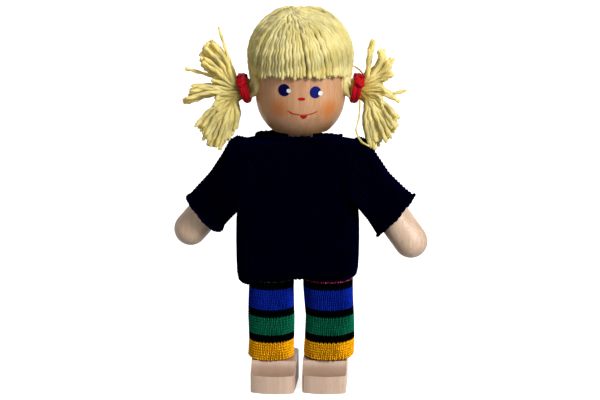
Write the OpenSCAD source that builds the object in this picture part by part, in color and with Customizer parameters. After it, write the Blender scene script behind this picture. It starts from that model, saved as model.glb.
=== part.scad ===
// A jointed wooden dolls' house doll: turned head, block torso, dowel limbs on
// soft wire, block shoes, a knitted sweater and striped trousers, and a yarn wig
// with a fringe and two bound pigtails. The doll faces -Y and stands on Z = 0,
// midway between its feet. Right and left are the doll's own: right is at -X.

/* [Head] */
// Radius of the turned head
head_r = 11.05; // [10:0.05:12]
// Height of the head from the flat under the chin to its top
head_h = 27.5; // [25:0.5:30]
// Radius of the flat under the chin
chin_flat_r = 6.9; // [5.5:0.1:8]
// Radius of the neck dowel
neck_r = 3; // [2.5:0.1:3.5]
// Length of neck between the torso and the head
neck_gap = 3.2; // [2.6:0.1:4.5]
// Depth of the neck bore in the head
head_bore_depth = 9; // [7:0.5:12]
// Depth of the neck bore in the torso
torso_bore_depth = 5; // [4:0.5:5.5]

/* [Hair] */
// Thickness of the yarn at the sides of the head
hair_side = 1.95; // [1.2:0.05:2.4]
// Thickness of the yarn on top of the head
hair_top = 3.6; // [2.5:0.1:5]
// Height of the fringe's cut edge above the middle of the face ball
fringe_rise = 5.8; // [5:0.1:7]
// How much lower the fringe is cut at the temples
fringe_fall = 1.6; // [0:0.1:2]
// How far the back hair reaches below the middle of the face ball
nape_drop = 5; // [3:0.1:6]
// Depth of the grooves between the yarn strands
strand_groove = 0.5; // [0.2:0.05:0.8]
// How much closer the yarn lies at its cut edge
hair_taper = 0.9; // [0.8:0.05:1]
// Clear space between the yarn on the head and each hair tie
tie_gap = 0.5; // [0.5:0.1:2]
// Height of the hair ties above the middle of the face ball
tie_rise = 1.7; // [0:0.1:2]
// Radius of the bunch of yarn inside a tie
bunch_r = 2.8; // [2:0.1:2.9]
// Thickness of the elastic of a tie
tie_cord = 0.85; // [0.7:0.05:1]
// Clear space between the turns of a tie
tie_turn_gap = 0.42; // [0.42:0.01:0.6]
// Turns of elastic in a tie
tie_turns = 2; // [1:1:3]
// Length of the longest yarn in a pigtail
tail_len = 15; // [12:0.5:16]
// Radius of a thick lock of a pigtail at its tip
lock_r = 1.9; // [1.2:0.1:2.3]

/* [Torso] */
// Width of the wooden torso
torso_w = 21; // [18:0.5:22]
// Depth of the wooden torso
torso_d = 11.2; // [10:0.2:11.2]
// Height of the wooden torso
torso_h = 19.3; // [18:0.1:20]
// Rounding of the torso's upright edges
torso_edge_r = 4.5; // [3.5:0.1:5]
// Rounding of the torso's upper and lower edges
torso_rim_r = 2.4; // [1.5:0.1:3]

/* [Wires] */
// Radius of the soft wire in the limbs
wire_r = 0.8; // [0.6:0.05:1]
// Radius of the bead of wire that stands where it bends
bend_r = 1.15; // [1.1:0.05:1.4]
// Length of wire glued into each wooden piece
wire_grip = 8; // [6:0.5:9]

/* [Arms] */
// Radius of the arm dowel
arm_r = 4.25; // [3.5:0.05:4.4]
// Distance from the shoulder bend to the middle of the rounded hand end
arm_reach = 21; // [18:0.5:24]
// Distance from the shoulder bend to the top end of the dowel
arm_start = 3.5; // [3:0.1:5]
// Distance of the shoulder bends from the middle of the doll
shoulder_reach = 15.2; // [14.8:0.1:16]
// Depth of the shoulder bends below the top of the torso
shoulder_drop = 7.8; // [7.2:0.1:9]
// How far the right arm points below level, in degrees
right_arm_drop_angle = 52.8; // [45:0.5:60]
// How far the left arm points below level, in degrees
left_arm_drop_angle = 54.1; // [45:0.5:60]
// How far the right arm is swung forward, in degrees
right_arm_swing_angle = -21; // [-25:1:20]
// How far the left arm is swung forward, in degrees
left_arm_swing_angle = 10; // [-20:1:20]

/* [Legs] */
// Radius of the leg dowel
leg_r = 4.5; // [3.5:0.1:4.6]
// Distance between the middles of the legs
leg_spacing = 14.4; // [14.4:0.1:15]
// Length of the leg dowel above the shoe
leg_len = 25.6; // [22:0.2:28]
// Length of bare wire between the leg and the torso
hip_gap = 10.2; // [10.2:0.1:12]
// Depth of the hip bend below the torso
hip_drop = 6; // [6:0.1:6.6]
// Radius of the tenon that joins the leg to the shoe
tenon_r = 3; // [2.2:0.1:3.4]
// Length of that tenon
tenon_len = 4; // [3:0.1:5]

/* [Shoes] */
// Width of a shoe
shoe_w = 11.1; // [10.5:0.1:11.6]
// Length of a shoe
shoe_len = 17; // [15:0.2:18]
// Length of a shoe in front of the leg's middle
shoe_front = 9.6; // [9:0.1:10.5]
// Height of the block under the ankle
shoe_h = 7.4; // [6.5:0.1:8]
// Height of the toe
toe_h = 4.6; // [4:0.1:5.2]
// Length of the flat part of the toe's top
toe_flat = 1.1; // [0.6:0.1:1.6]
// Length of the hollow that rises from the toe to the ankle
cove_len = 3.5; // [3:0.1:3.6]
// Rounding of a shoe's upright corners
shoe_corner_r = 2.4; // [1.5:0.1:3]
// Radius of the curve of the toe, seen from above
toe_curve_r = 14; // [12:0.5:18]
// How far a shoe sits inwards from the leg's middle
shoe_inset = 0.8; // [0:0.1:0.9]
// How far the right toe turns to the right, in degrees
right_toe_angle = 5; // [0:0.5:6]
// How far the left toe turns to the right, in degrees
left_toe_angle = 3.5; // [0:0.5:4]

/* [Clothes] */
// Thickness of the sweater's knit
sweater_wall = 0.8; // [0.5:0.05:0.9]
// Half the width of the sweater
sweater_half_w = 15.3; // [15.2:0.1:16.5]
// Half the depth of the sweater
sweater_half_d = 8.6; // [8.5:0.1:9.5]
// How far the sweater's hem hangs below the torso
hem_drop = 13.7; // [12:0.2:16]
// Height of the collar's edge above the torso
collar_rise = 2; // [1.9:0.1:2.6]
// How far the sweater has slipped to the right
sweater_shift = 0.4; // [0:0.1:0.6]
// Half the depth of an armhole, inside the sleeve
armhole_r = 5.6; // [5:0.1:6]
// Half the height of a sleeve where it is sewn on
sleeve_half_h = 9.2; // [8:0.1:9.6]
// Half the depth of a sleeve where it is sewn on
sleeve_half_d = 7; // [6.6:0.1:7.4]
// Radius of a cuff
cuff_r = 6; // [5.8:0.05:6.6]
// Distance of the cuff from the shoulder bend
cuff_reach = 14.4; // [12:0.1:16]
// How much further the cuff reaches on its underside
cuff_skew = 1; // [0:0.1:1.5]
// How far a sleeve stands out at the shoulder
sleeve_puff = 2.9; // [0:0.1:3.5]
// Thickness of the trousers' knit
trouser_wall = 0.65; // [0.4:0.05:0.7]
// Outer radius of a trouser leg
trouser_r = 5.9; // [5.6:0.05:5.95]
// Outer radius of the rounded sides of the trousers' seat
seat_r = 6.5; // [6.5:0.05:6.6]
// How far the waistband reaches up the torso
waist_rise = 4; // [3:0.1:6]
// Heights of the stripes from the hem up, yellow first
yellow_h = 4.5; // [3:0.1:6]
// Height of the green stripe
green_h = 4.5; // [3:0.1:6]
// Height of the blue stripe
blue_h = 5; // [3:0.1:6]
// Height of the black stripes between the coloured ones
black_h = 2; // [1:0.1:3]

/* [Hidden] */
$fn = 64;

// Clearances and small sizes
running = 0.05;       // radial space of a dowel or wire that turns
seat_gap = 0.1;       // end space in the head's bore
glue = 0.12;          // film of glue under the yarn
seam = 0.3;           // space between cloth pieces and what they touch
bevel = 0.8;          // bevel on dowel ends
hem_gap = 0.2;        // space between the trousers' hem and the shoe
over = 1;             // overrun of a cut
RIGHT = -1;
LEFT = 1;

// Levels
leg_x = leg_spacing / 2;
leg_top = shoe_h + leg_len;
torso_z = leg_top + hip_gap;
hip_z = torso_z - hip_drop;
torso_top = torso_z + torso_h;
shoulder_z = torso_top - shoulder_drop;
head_z = torso_top + neck_gap;
face_z = head_z + sqrt(head_r * head_r - chin_flat_r * chin_flat_r);
dome_z = head_z + head_h - head_r;

// Wood, cloth and yarn colours
WOOD = [0.86, 0.72, 0.56];
FACE_WOOD = [0.87, 0.68, 0.49];
NAVY = [0.03, 0.03, 0.09];
YARN = [0.93, 0.87, 0.55];
RED = [0.75, 0.04, 0.1];
STEEL = [0.6, 0.6, 0.62];

// Ring and grid solids
function at_ring(list, i) = list[(i + len(list)) % len(list)];
function flat(lists) = [for (l = lists) each l];

// A closed wall between outer and inner rings, each a list of rings of points
module tube_solid(outer, inner) {
    n = len(outer[0]);
    m = len(outer);
    points = concat(flat(outer), flat(inner));
    in = m * n;
    faces = concat(
        [for (j = [0 : m - 2], i = [0 : n - 1]) each let (k = (i + 1) % n) [
            [j * n + i, (j + 1) * n + i, (j + 1) * n + k],
            [j * n + i, (j + 1) * n + k, j * n + k],
            [in + j * n + i, in + (j + 1) * n + k, in + (j + 1) * n + i],
            [in + j * n + i, in + j * n + k, in + (j + 1) * n + k]]],
        [for (i = [0 : n - 1]) each let (k = (i + 1) % n, t = (m - 1) * n) [
            [i, k, in + k],
            [i, in + k, in + i],
            [t + i, in + t + k, t + k],
            [t + i, in + t + i, in + t + k]]]
    );
    polyhedron(points, faces);
}

// A closed wall over an open grid, with outer and inner lists of columns of points
module patch_solid(outer, inner) {
    m = len(outer);
    n = len(outer[0]);
    points = concat(flat(outer), flat(inner));
    in = m * n;
    faces = concat(
        [for (i = [0 : m - 2], j = [0 : n - 2]) each let (a = i * n + j, b = a + n) [
            [a, b, b + 1], [a, b + 1, a + 1],
            [in + a, in + b + 1, in + b], [in + a, in + a + 1, in + b + 1]]],
        [for (i = [0 : m - 2]) each let (a = i * n, b = a + n, c = a + n - 1, d = b + n - 1) [
            [a, in + b, b], [a, in + a, in + b],
            [c, d, in + d], [c, in + d, in + c]]],
        [for (j = [0 : n - 2]) each let (a = j, c = (m - 1) * n + j) [
            [a, a + 1, in + a + 1], [a, in + a + 1, in + a],
            [c, in + c + 1, c + 1], [c, in + c, in + c + 1]]]
    );
    polyhedron(points, faces);
}

// A rounded rectangle, exact, centred on the origin
module rounded(w, h, r) {
    square([w - 2 * r, h], center = true);
    square([w, h - 2 * r], center = true);
    for (x = [-1, 1], y = [-1, 1])
        translate([x * (w / 2 - r), y * (h / 2 - r)]) circle(r);
}

// A dowel along +Z with bevelled ends
module dowel(r, h, edge = bevel) {
    rotate_extrude()
        polygon([[0, 0], [r - edge, 0], [r, edge], [r, h - edge], [r - edge, h], [0, h]]);
}

// Turned head, bored from below for the neck
module head_profile(r) {
    intersection() {
        union() {
            translate([0, face_z]) circle(r);
            translate([0, dome_z]) circle(r);
            translate([0, face_z]) square([r, dome_z - face_z]);
        }
        translate([0, head_z]) square([2 * r, head_h + over]);
    }
}

module head() {
    color(FACE_WOOD)
    difference() {
        rotate_extrude() head_profile(head_r);
        translate([0, 0, head_z - over])
            cylinder(r = neck_r + running, h = head_bore_depth + seat_gap + over);
    }
}

module neck_peg() {
    color(WOOD)
    translate([0, 0, torso_top - torso_bore_depth])
        dowel(neck_r, torso_bore_depth + neck_gap + head_bore_depth);
}

// Torso block: three rounded outlines crossed, bored for the neck and the wires
module torso() {
    mid_z = torso_z + torso_h / 2;
    color(WOOD)
    difference() {
        intersection() {
            translate([0, 0, torso_z]) linear_extrude(torso_h)
                rounded(torso_w, torso_d, torso_edge_r);
            translate([0, torso_d / 2 + over, mid_z]) rotate([90, 0, 0])
                linear_extrude(torso_d + 2 * over) rounded(torso_w, torso_h, torso_rim_r);
            translate([-torso_w / 2 - over, 0, mid_z]) rotate([90, 0, 90])
                linear_extrude(torso_w + 2 * over) rounded(torso_d, torso_h, torso_rim_r);
        }
        translate([0, 0, torso_top - torso_bore_depth])
            cylinder(r = neck_r, h = torso_bore_depth + over);
        translate([-torso_w / 2 - over, 0, shoulder_z]) rotate([0, 90, 0])
            cylinder(r = wire_r + running, h = torso_w + 2 * over);
        for (side = [RIGHT, LEFT])
            translate([side * leg_x, 0, torso_z - over]) cylinder(r = wire_r, h = wire_grip + over);
    }
}

// Yarn cap: the outer dome follows the head at the thickness of the hair
hair_r = head_r + hair_side;
hair_z = dome_z + hair_side;
hair_dome_h = head_h + head_z + hair_top - hair_z;
pole_angle = 4;             // half the opening left at the crown seam, in degrees
dome_share = 0.75;          // share of a strand that lies on the dome
fringe_half_turn = 97;      // how far round the fringe reaches from the front, in degrees
fringe_strands = 26;
back_strands = 18;
groove_steps = 4;           // columns of points to a strand
strand_rows = 8;
taper_rate = 2.5;           // how fast the yarn draws in under the dome
ear_share = 0.3;            // how far the back hair reaches down beside the face
parting_gap_turn = 1;       // turn left between the fringe and the back hair, in degrees

function on_turn(turn, r, z) = [r * sin(turn), -r * cos(turn), z];
// One point of a strand: s runs from the crown, 0, to the cut edge, 1
function hair_point(turn, s, edge_z, lift) =
    let (a = pole_angle + (90 - pole_angle) * min(s / dome_share, 1),
         low = max(0, (s - dome_share) / (1 - dome_share)),
         z = low > 0 ? hair_z - (hair_z - edge_z) * low : hair_z + (hair_dome_h + lift) * cos(a),
         draw_in = hair_taper * sin(90 * min(1, taper_rate * low)),
         r = low > 0 ? hair_r - draw_in + lift : (hair_r + lift) * sin(a))
    on_turn(turn, r, z);
function scalp_point(turn, s, edge_z) =
    let (a = pole_angle + (90 - pole_angle) * min(s / dome_share, 1),
         low = max(0, (s - dome_share) / (1 - dome_share)),
         z = low > 0 ? dome_z - (dome_z - edge_z) * low : dome_z + (head_r + glue) * cos(a),
         r = low > 0 ? head_r + glue : (head_r + glue) * sin(a))
    on_turn(turn, r, z);

module hair_sheet(first, last, strands, edge) {
    steps = strands * groove_steps;
    turns = [for (i = [0 : steps]) first + (last - first) * i / steps];
    grooves = [for (i = [0 : steps]) -strand_groove * (1 + cos(360 * i / groove_steps)) / 2];
    patch_solid(
        [for (i = [0 : steps]) [for (j = [0 : strand_rows])
            hair_point(turns[i], j / strand_rows, edge[i], grooves[i] * min(1, 2 * j / strand_rows))]],
        [for (i = [0 : steps]) [for (j = [0 : strand_rows])
            scalp_point(turns[i], j / strand_rows, edge[i])]]);
}

module fringe() {
    steps = fringe_strands * groove_steps;
    turns = [for (i = [0 : steps]) fringe_half_turn * (2 * i / steps - 1)];
    color(YARN)
        hair_sheet(-fringe_half_turn, fringe_half_turn, fringe_strands,
            [for (t = turns) face_z + fringe_rise - fringe_fall * (1 - cos(t))]);
}

module back_hair() {
    first = fringe_half_turn + parting_gap_turn;
    last = 360 - first;
    steps = back_strands * groove_steps;
    color(YARN)
        hair_sheet(first, last, back_strands,
            [for (i = [0 : steps])
                face_z - nape_drop * (ear_share + (1 - ear_share) * sin(180 * i / steps))]);
}

// Crown knot: the tuft that holds the strands where they meet
knot_r = 0.7;
knot_stem_r = 0.5;
knot_rise = 0.15;            // height of the knot's middle above the yarn
module crown_knot() {
    yarn_top = hair_z + hair_dome_h;
    color(YARN) {
        translate([0, 0, dome_z + head_r + glue])
            cylinder(r = knot_stem_r, h = yarn_top - dome_z - head_r - glue + knot_rise);
        translate([0, 0, yarn_top + knot_rise]) sphere(knot_r);
    }
}

// Pigtails: locks that fan out of the tie. A lock is its angle above level, its
// angle forwards, its length as a share of tail_len and its tip as a share of lock_r.
// Each row of lock_shares is the way along a lock and how far it has widened there
lock_root_share = 0.5;      // radius of a lock at its root, as a share of bunch_r
lock_bend_share = 0.3;      // how far a lock goes straight out, as a share of its length
lock_rib_share = 0.1;       // depth of a lock's ribs, as a share of its radius
lock_shares = [[0, 0], [0.25, 0.25], [0.5, 0.5], [0.75, 0.8], [0.94, 1], [1, 0.6]];
lock_sides = 10;
bunch_sides = 24;
right_lock_shares = [
    [49, 8, 0.87, 0.9], [32, -12, 0.8, 1], [70, 0, 0.88, 0.4], [17, 14, 0.9, 0.4],
    [-9, -6, 0.85, 1], [-17, 8, 0.98, 0.6], [-41, 14, 0.88, 1.1], [-58, 8, 0.76, 1],
    [-68, 24, 0.74, 0.7], [-45, -16, 0.8, 0.9], [8, -22, 0.75, 0.9]];
left_lock_shares = [
    [76, 4, 0.82, 0.7], [56, -10, 0.74, 0.9], [42, 12, 0.7, 0.9], [20, -12, 0.55, 0.9],
    [1, 4, 0.76, 0.4], [-13, 12, 0.62, 0.8], [-38, 4, 0.8, 1.1], [-51, 16, 0.76, 1],
    [-68, 30, 0.74, 0.7], [-56, -18, 0.7, 0.9], [-78, 34, 0.7, 0.5]];
bunch_len = tie_turns * (tie_cord + tie_turn_gap) + tie_cord;
tie_reach = hair_r - hair_taper + tie_gap + bunch_len / 2;
tie_z = face_z + tie_rise;

function unit(v) = v / norm(v);
// A cord through a list of points, with one radius for each point
module swept_cord(points, radii, sides, rib_share = 0) {
    last = len(points) - 1;
    rings = [for (i = [0 : last])
        let (t = unit(points[min(i + 1, last)] - points[max(i - 1, 0)]),
             e = unit(cross(t, [0, 1, 0])),
             f = cross(t, e))
        [for (k = [0 : sides - 1])
            let (r = radii[i] * (1 + rib_share * (k % 2 == 0 ? 1 : -1)))
            points[i] + r * (e * cos(360 * k / sides) + f * sin(360 * k / sides))]];
    polyhedron(flat(rings), concat(
        [[for (k = [0 : sides - 1]) k]],
        [[for (k = [sides - 1 : -1 : 0]) last * sides + k]],
        [for (i = [0 : last - 1], k = [0 : sides - 1])
            each let (a = i * sides + k, b = i * sides + (k + 1) % sides) [
                [a, a + sides, b + sides], [a, b + sides, b]]]));
}

module lock(side, angle, forward, length, tip_r) {
    way = [side * cos(angle) * cos(forward), -sin(forward), sin(angle) * cos(forward)];
    knee = [side * lock_bend_share * length, 0, 0];
    root_r = bunch_r * lock_root_share;
    swept_cord([for (row = lock_shares) let (u = row[0]) 2 * u * (1 - u) * knee + u * u * length * way],
        [for (row = lock_shares) root_r + (tip_r - root_r) * row[1]], lock_sides, lock_rib_share);
}

module pigtail(side, locks) {
    start = tie_reach - bunch_len / 2;
    color(YARN)
    translate([side * start, 0, tie_z]) {
        rotate([0, side * 90, 0]) cylinder(r = bunch_r, h = bunch_len, $fn = bunch_sides);
        translate([side * bunch_len, 0, 0]) {
            sphere(bunch_r, $fn = bunch_sides);
            for (l = locks) lock(side, l[0], l[1], tail_len * l[2], lock_r * l[3]);
        }
    }
}

module pigtail_right() {
    pigtail(RIGHT, right_lock_shares);
}

module pigtail_left() {
    pigtail(LEFT, left_lock_shares);
}

// Hair tie: one length of elastic wound round the bunch in an open spiral
tie_rings = 24;             // rings of points to a turn
tie_sides = 6;
tie_pitch = tie_cord + tie_turn_gap;
tie_spiral_r = bunch_r + running + tie_cord / 2;
tie_points = [for (i = [0 : tie_turns * tie_rings]) let (a = 360 * i / tie_rings)
    [tie_pitch * (i / tie_rings - tie_turns / 2), tie_spiral_r * cos(a), tie_spiral_r * sin(a)]];
tie_least_gap = min([for (i = [0 : (tie_turns - 1) * tie_rings], k = [tie_rings - 6 : tie_rings])
    norm(tie_points[i + k] - tie_points[i])]) - tie_cord;
echo(tie_least_gap = tie_least_gap);

module hair_tie(side) {
    color(RED)
        translate([side * tie_reach, 0, tie_z]) swept_cord(tie_points, [for (p = tie_points) tie_cord / 2], tie_sides);
}

module hair_tie_right() {
    hair_tie(RIGHT);
}

module hair_tie_left() {
    hair_tie(LEFT);
}

// Limb frames: an arm runs along its own +Z from the shoulder bend
module arm_frame(side, down, forward) {
    translate([side * shoulder_reach, 0, shoulder_z])
        rotate([-forward, 0, 0]) rotate([0, side * (90 + down), 0]) children();
}

function arm_way(side, down, forward) =
    [side * cos(down), -sin(down) * sin(forward), -sin(down) * cos(forward)];

// Shoulder wire: turns in the torso's cross bore and ends in the bend
module shoulder_wire(side) {
    inner = over;
    color(STEEL)
    translate([side * inner, 0, shoulder_z]) rotate([0, side * 90, 0]) {
        cylinder(r = wire_r, h = shoulder_reach - inner);
        translate([0, 0, shoulder_reach - inner]) sphere(bend_r);
    }
}

module shoulder_wire_right() {
    shoulder_wire(RIGHT);
}

module shoulder_wire_left() {
    shoulder_wire(LEFT);
}

module arm_wire(side, down, forward) {
    color(STEEL)
    arm_frame(side, down, forward)
        difference() {
            cylinder(r = wire_r, h = arm_start + wire_grip);
            sphere(bend_r + running);
        }
}

module arm_wire_right() {
    arm_wire(RIGHT, right_arm_drop_angle, right_arm_swing_angle);
}

module arm_wire_left() {
    arm_wire(LEFT, left_arm_drop_angle, left_arm_swing_angle);
}

// Arm: a dowel turned round at the hand end and bored for its wire
module arm(side, down, forward) {
    color(WOOD)
    arm_frame(side, down, forward)
        difference() {
            union() {
                translate([0, 0, arm_start]) dowel(arm_r, arm_reach - arm_start + bevel);
                translate([0, 0, arm_reach]) sphere(arm_r);
            }
            cylinder(r = wire_r, h = arm_start + wire_grip);
        }
}

module arm_right() {
    arm(RIGHT, right_arm_drop_angle, right_arm_swing_angle);
}

module arm_left() {
    arm(LEFT, left_arm_drop_angle, left_arm_swing_angle);
}

// Hip wires: a stub in the torso, the bend, and a stub in the leg
module hip_wire(side) {
    color(STEEL)
    translate([side * leg_x, 0, hip_z])
        difference() {
            cylinder(r = wire_r, h = hip_drop + wire_grip);
            sphere(bend_r + running);
        }
}

module hip_wire_right() {
    hip_wire(RIGHT);
}

module hip_wire_left() {
    hip_wire(LEFT);
}

module hip_bend(side) {
    color(STEEL)
        translate([side * leg_x, 0, hip_z]) sphere(bend_r);
}

module hip_bend_right() {
    hip_bend(RIGHT);
}

module hip_bend_left() {
    hip_bend(LEFT);
}

module leg_wire(side) {
    color(STEEL)
    translate([side * leg_x, 0, leg_top - wire_grip])
        difference() {
            cylinder(r = wire_r, h = hip_z - leg_top + wire_grip);
            translate([0, 0, hip_z - leg_top + wire_grip]) sphere(bend_r + running);
        }
}

module leg_wire_right() {
    leg_wire(RIGHT);
}

module leg_wire_left() {
    leg_wire(LEFT);
}

// Leg: a dowel with a tenon for the shoe
module leg(side) {
    color(WOOD)
    translate([side * leg_x, 0, 0])
        difference() {
            union() {
                translate([0, 0, shoe_h]) dowel(leg_r, leg_len);
                translate([0, 0, shoe_h - tenon_len]) cylinder(r = tenon_r, h = tenon_len + bevel);
            }
            translate([0, 0, leg_top - wire_grip]) cylinder(r = wire_r, h = wire_grip + over);
        }
}

module leg_right() {
    leg(RIGHT);
}

module leg_left() {
    leg(LEFT);
}

// Shoe: a side outline with a hollowed instep, crossed with a plan that has a
// curved toe and rounded corners
module shoe_side_outline() {
    rise = shoe_h - toe_h;
    cove_r = (cove_len * cove_len + rise * rise) / (2 * rise);
    cove_y = -shoe_front + toe_flat;
    difference() {
        translate([-shoe_front, 0]) square([shoe_len, shoe_h]);
        translate([cove_y, toe_h + cove_r]) circle(cove_r);
        translate([-shoe_front - over, toe_h]) square([toe_flat + over, rise + over]);
    }
}

module shoe_plan() {
    intersection() {
        translate([0, shoe_len / 2 - shoe_front]) rounded(shoe_w, shoe_len, shoe_corner_r);
        translate([0, toe_curve_r - shoe_front]) circle(toe_curve_r);
    }
}

module shoe(side, turn) {
    color(WOOD)
    difference() {
        translate([side * (leg_x - shoe_inset), 0, 0]) rotate([0, 0, -turn])
            intersection() {
                linear_extrude(shoe_h) shoe_plan();
                translate([-shoe_w / 2 - over, 0, 0]) rotate([90, 0, 90])
                    linear_extrude(shoe_w + 2 * over) shoe_side_outline();
            }
        translate([side * leg_x, 0, shoe_h - tenon_len]) cylinder(r = tenon_r, h = tenon_len + over);
    }
}

module shoe_right() {
    shoe(RIGHT, right_toe_angle);
}

module shoe_left() {
    shoe(LEFT, left_toe_angle);
}

// Sweater body: rings from the hem to the collar. Each row is the height as a
// share of the sweater, then the width and the depth as shares of their halves
sweater_shares = [
    [0, 0.975, 0.94], [0.04, 1, 0.985], [0.12, 1.01, 1], [0.25, 1.015, 1], [0.38, 1.01, 0.985],
    [0.5, 0.99, 0.97], [0.64, 0.98, 0.96], [0.78, 0.975, 0.94], [0.88, 0.975, 0.9],
    [0.93, 0.97, 0.86], [0.955, 0.94, 0.79], [0.966, 0.87, 0.73], [0.974, 0.78, 0.67],
    [0.982, 0.71, 0.61], [1, 0.68, 0.55]];
sweater_sides = 40;
sweater_square = 2.7;       // how square the sweater's section is
sweater_wave_share = 0.012; // depth of the knit's soft waves
sweater_waves = 7;
sweater_z = torso_z - hem_drop;
sweater_h = torso_top + collar_rise - sweater_z;
yoke_share = 0.9;           // height where the shoulders start to close
armhole_start = 7;          // distance from the middle where an armhole's cut starts
function power(v, p) = sign(v) * pow(abs(v), p);
function sweater_ring(row, inset, sink) = [for (i = [0 : sweater_sides - 1])
    let (a = 360 * i / sweater_sides,
         wave = 1 + sweater_wave_share * sin(sweater_waves * a + 90 * row[0]) * (1 - row[0]))
    [-sweater_shift + (sweater_half_w * row[1] - inset) * wave * power(cos(a), 2 / sweater_square),
     (sweater_half_d * row[2] - inset) * wave * power(sin(a), 2 / sweater_square),
     sweater_z + sweater_h * row[0] - sink]];
function yoke_sink(row) = row[0] == 1 ? 0 :
    sweater_wall * min(1, max(0, (row[0] - yoke_share) / (1 - yoke_share) * 2));

module sweater_body() {
    color(NAVY)
    difference() {
        tube_solid(
            [for (row = sweater_shares) sweater_ring(row, 0, 0)],
            [for (row = sweater_shares) sweater_ring(row, sweater_wall, yoke_sink(row))]);
        for (side = [RIGHT, LEFT])
            translate([side * armhole_start, 0, sleeve_mid_z]) rotate([0, side * 90, 0])
                scale([sleeve_half_h / sleeve_half_d, 1, 1]) cylinder(r = armhole_r, h = sweater_half_w);
    }
}

// Sleeve: straight lines from the armhole ring to the skewed cuff ring
sleeve_sides = 28;
sleeve_sink = 1.2;          // how much lower than the arm the sleeve is sewn on
sleeve_mid_z = shoulder_z - sleeve_sink;
seam_lift = 0.7;            // space that clears the curve of the sweater at the seam
// The sweater's side at one height and depth, where a sleeve is sewn on
half_w_shares = [for (row = sweater_shares) [row[0], row[1]]];
half_d_shares = [for (row = sweater_shares) [row[0], row[2]]];
function side_x(side, y, z) =
    let (share = (z - sweater_z) / sweater_h,
         w = sweater_half_w * lookup(share, half_w_shares),
         d = sweater_half_d * lookup(share, half_d_shares))
    side * w * pow(1 - pow(min(1, abs(y) / d), sweater_square), 1 / sweater_square) - sweater_shift;
function sleeve_root(side, inset) = [for (i = [0 : sleeve_sides - 1])
    let (a = 360 * i / sleeve_sides,
         y = (sleeve_half_d - inset) * sin(a),
         z = sleeve_mid_z + (sleeve_half_h - inset) * cos(a))
    [side_x(side, y, z) + side * seam_lift, y, z]];
function sleeve_cuff(side, down, forward, inset) =
    let (way = arm_way(side, down, forward),
         up = unit([0, 0, 1] - way * way[2]),
         across = [0, 0, 0] + unit(cross(up, way)) * side,
         middle = [side * shoulder_reach, 0, shoulder_z] + way * cuff_reach)
    [for (i = [0 : sleeve_sides - 1]) let (a = 360 * i / sleeve_sides)
        middle - way * cuff_skew * cos(a) + (cuff_r - inset) * (up * cos(a) + across * sin(a))];
// Each row is the way along the sleeve and how far it stands out there, as shares
sleeve_shares = [[0, 0], [0.06, 0.7], [0.16, 1], [0.34, 0.6], [0.6, 0.12], [0.85, -0.05], [1, 0]];
function sleeve_rings(side, down, forward, inset) =
    let (root = sleeve_root(side, inset),
         cuff = sleeve_cuff(side, down, forward, inset),
         way = unit(cuff[0] - root[0]),
         out = unit(cross([0, side, 0], way)) * -1)
    [for (row = sleeve_shares)
        [for (i = [0 : sleeve_sides - 1])
            let (lift = sleeve_puff * row[1] * max(0, cos(360 * i / sleeve_sides)))
            root[i] * (1 - row[0]) + cuff[i] * row[0] + lift * out]];

module sleeve(side, down, forward) {
    outer = sleeve_rings(side, down, forward, 0);
    inner = sleeve_rings(side, down, forward, sweater_wall);
    color(NAVY)
        if (side == LEFT)
            tube_solid(outer, inner);
        else
            tube_solid([for (r = outer) [for (i = [len(r) - 1 : -1 : 0]) r[i]]],
                [for (r = inner) [for (i = [len(r) - 1 : -1 : 0]) r[i]]]);
}

module sleeve_right() {
    sleeve(RIGHT, right_arm_drop_angle, right_arm_swing_angle);
}

module sleeve_left() {
    sleeve(LEFT, left_arm_drop_angle, left_arm_swing_angle);
}

// Trousers: a seat round the hips, and a striped tube on each leg
module seat_outline(inset) {
    for (side = [RIGHT, LEFT]) translate([side * leg_x, 0]) circle(seat_r - inset);
    square([leg_spacing, 2 * (seat_r - inset)], center = true);
}

module trouser_seat() {
    floor_z = leg_top + seam;
    color("purple")
    difference() {
        translate([0, 0, floor_z]) linear_extrude(torso_z + waist_rise - floor_z) seat_outline(0);
        translate([0, 0, floor_z + trouser_wall])
            linear_extrude(torso_z + waist_rise - floor_z + over) seat_outline(trouser_wall);
        for (side = [RIGHT, LEFT])
            translate([side * leg_x, 0, floor_z - over])
                cylinder(r = trouser_r - trouser_wall, h = trouser_wall + 2 * over);
    }
}

hem_z = shoe_h + hem_gap;
trouser_top = leg_top;
BLACK = [0.02, 0.02, 0.03];
stripes = [
    [yellow_h, [0.85, 0.55, 0.02]], [black_h, BLACK], [green_h, [0.03, 0.38, 0.26]], [black_h, BLACK],
    [blue_h, [0.05, 0.15, 0.65]], [black_h, BLACK]];
function stripe_z(k) = k == 0 ? hem_z : stripe_z(k - 1) + stripes[k - 1][0];

module trouser_band(z, h) {
    translate([0, 0, z]) difference() {
        cylinder(r = trouser_r, h = h);
        translate([0, 0, -over]) cylinder(r = trouser_r - trouser_wall, h = h + 2 * over);
    }
}

module trouser_leg(side) {
    last = len(stripes);
    translate([side * leg_x, 0, 0]) {
        for (k = [0 : last - 1])
            color(stripes[k][1]) trouser_band(stripe_z(k), stripes[k][0]);
        color([0.3, 0.05, 0.25]) trouser_band(stripe_z(last), trouser_top - stripe_z(last));
    }
}

module trouser_leg_right() {
    trouser_leg(RIGHT);
}

module trouser_leg_left() {
    trouser_leg(LEFT);
}

head();
neck_peg();
torso();
fringe();
back_hair();
crown_knot();
pigtail_right();
pigtail_left();
hair_tie_right();
hair_tie_left();
shoulder_wire_right();
shoulder_wire_left();
arm_wire_right();
arm_wire_left();
arm_right();
arm_left();
hip_wire_right();
hip_wire_left();
hip_bend_right();
hip_bend_left();
leg_wire_right();
leg_wire_left();
leg_right();
leg_left();
shoe_right();
shoe_left();
sweater_body();
sleeve_right();
sleeve_left();
trouser_seat();
trouser_leg_right();
trouser_leg_left();
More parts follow.
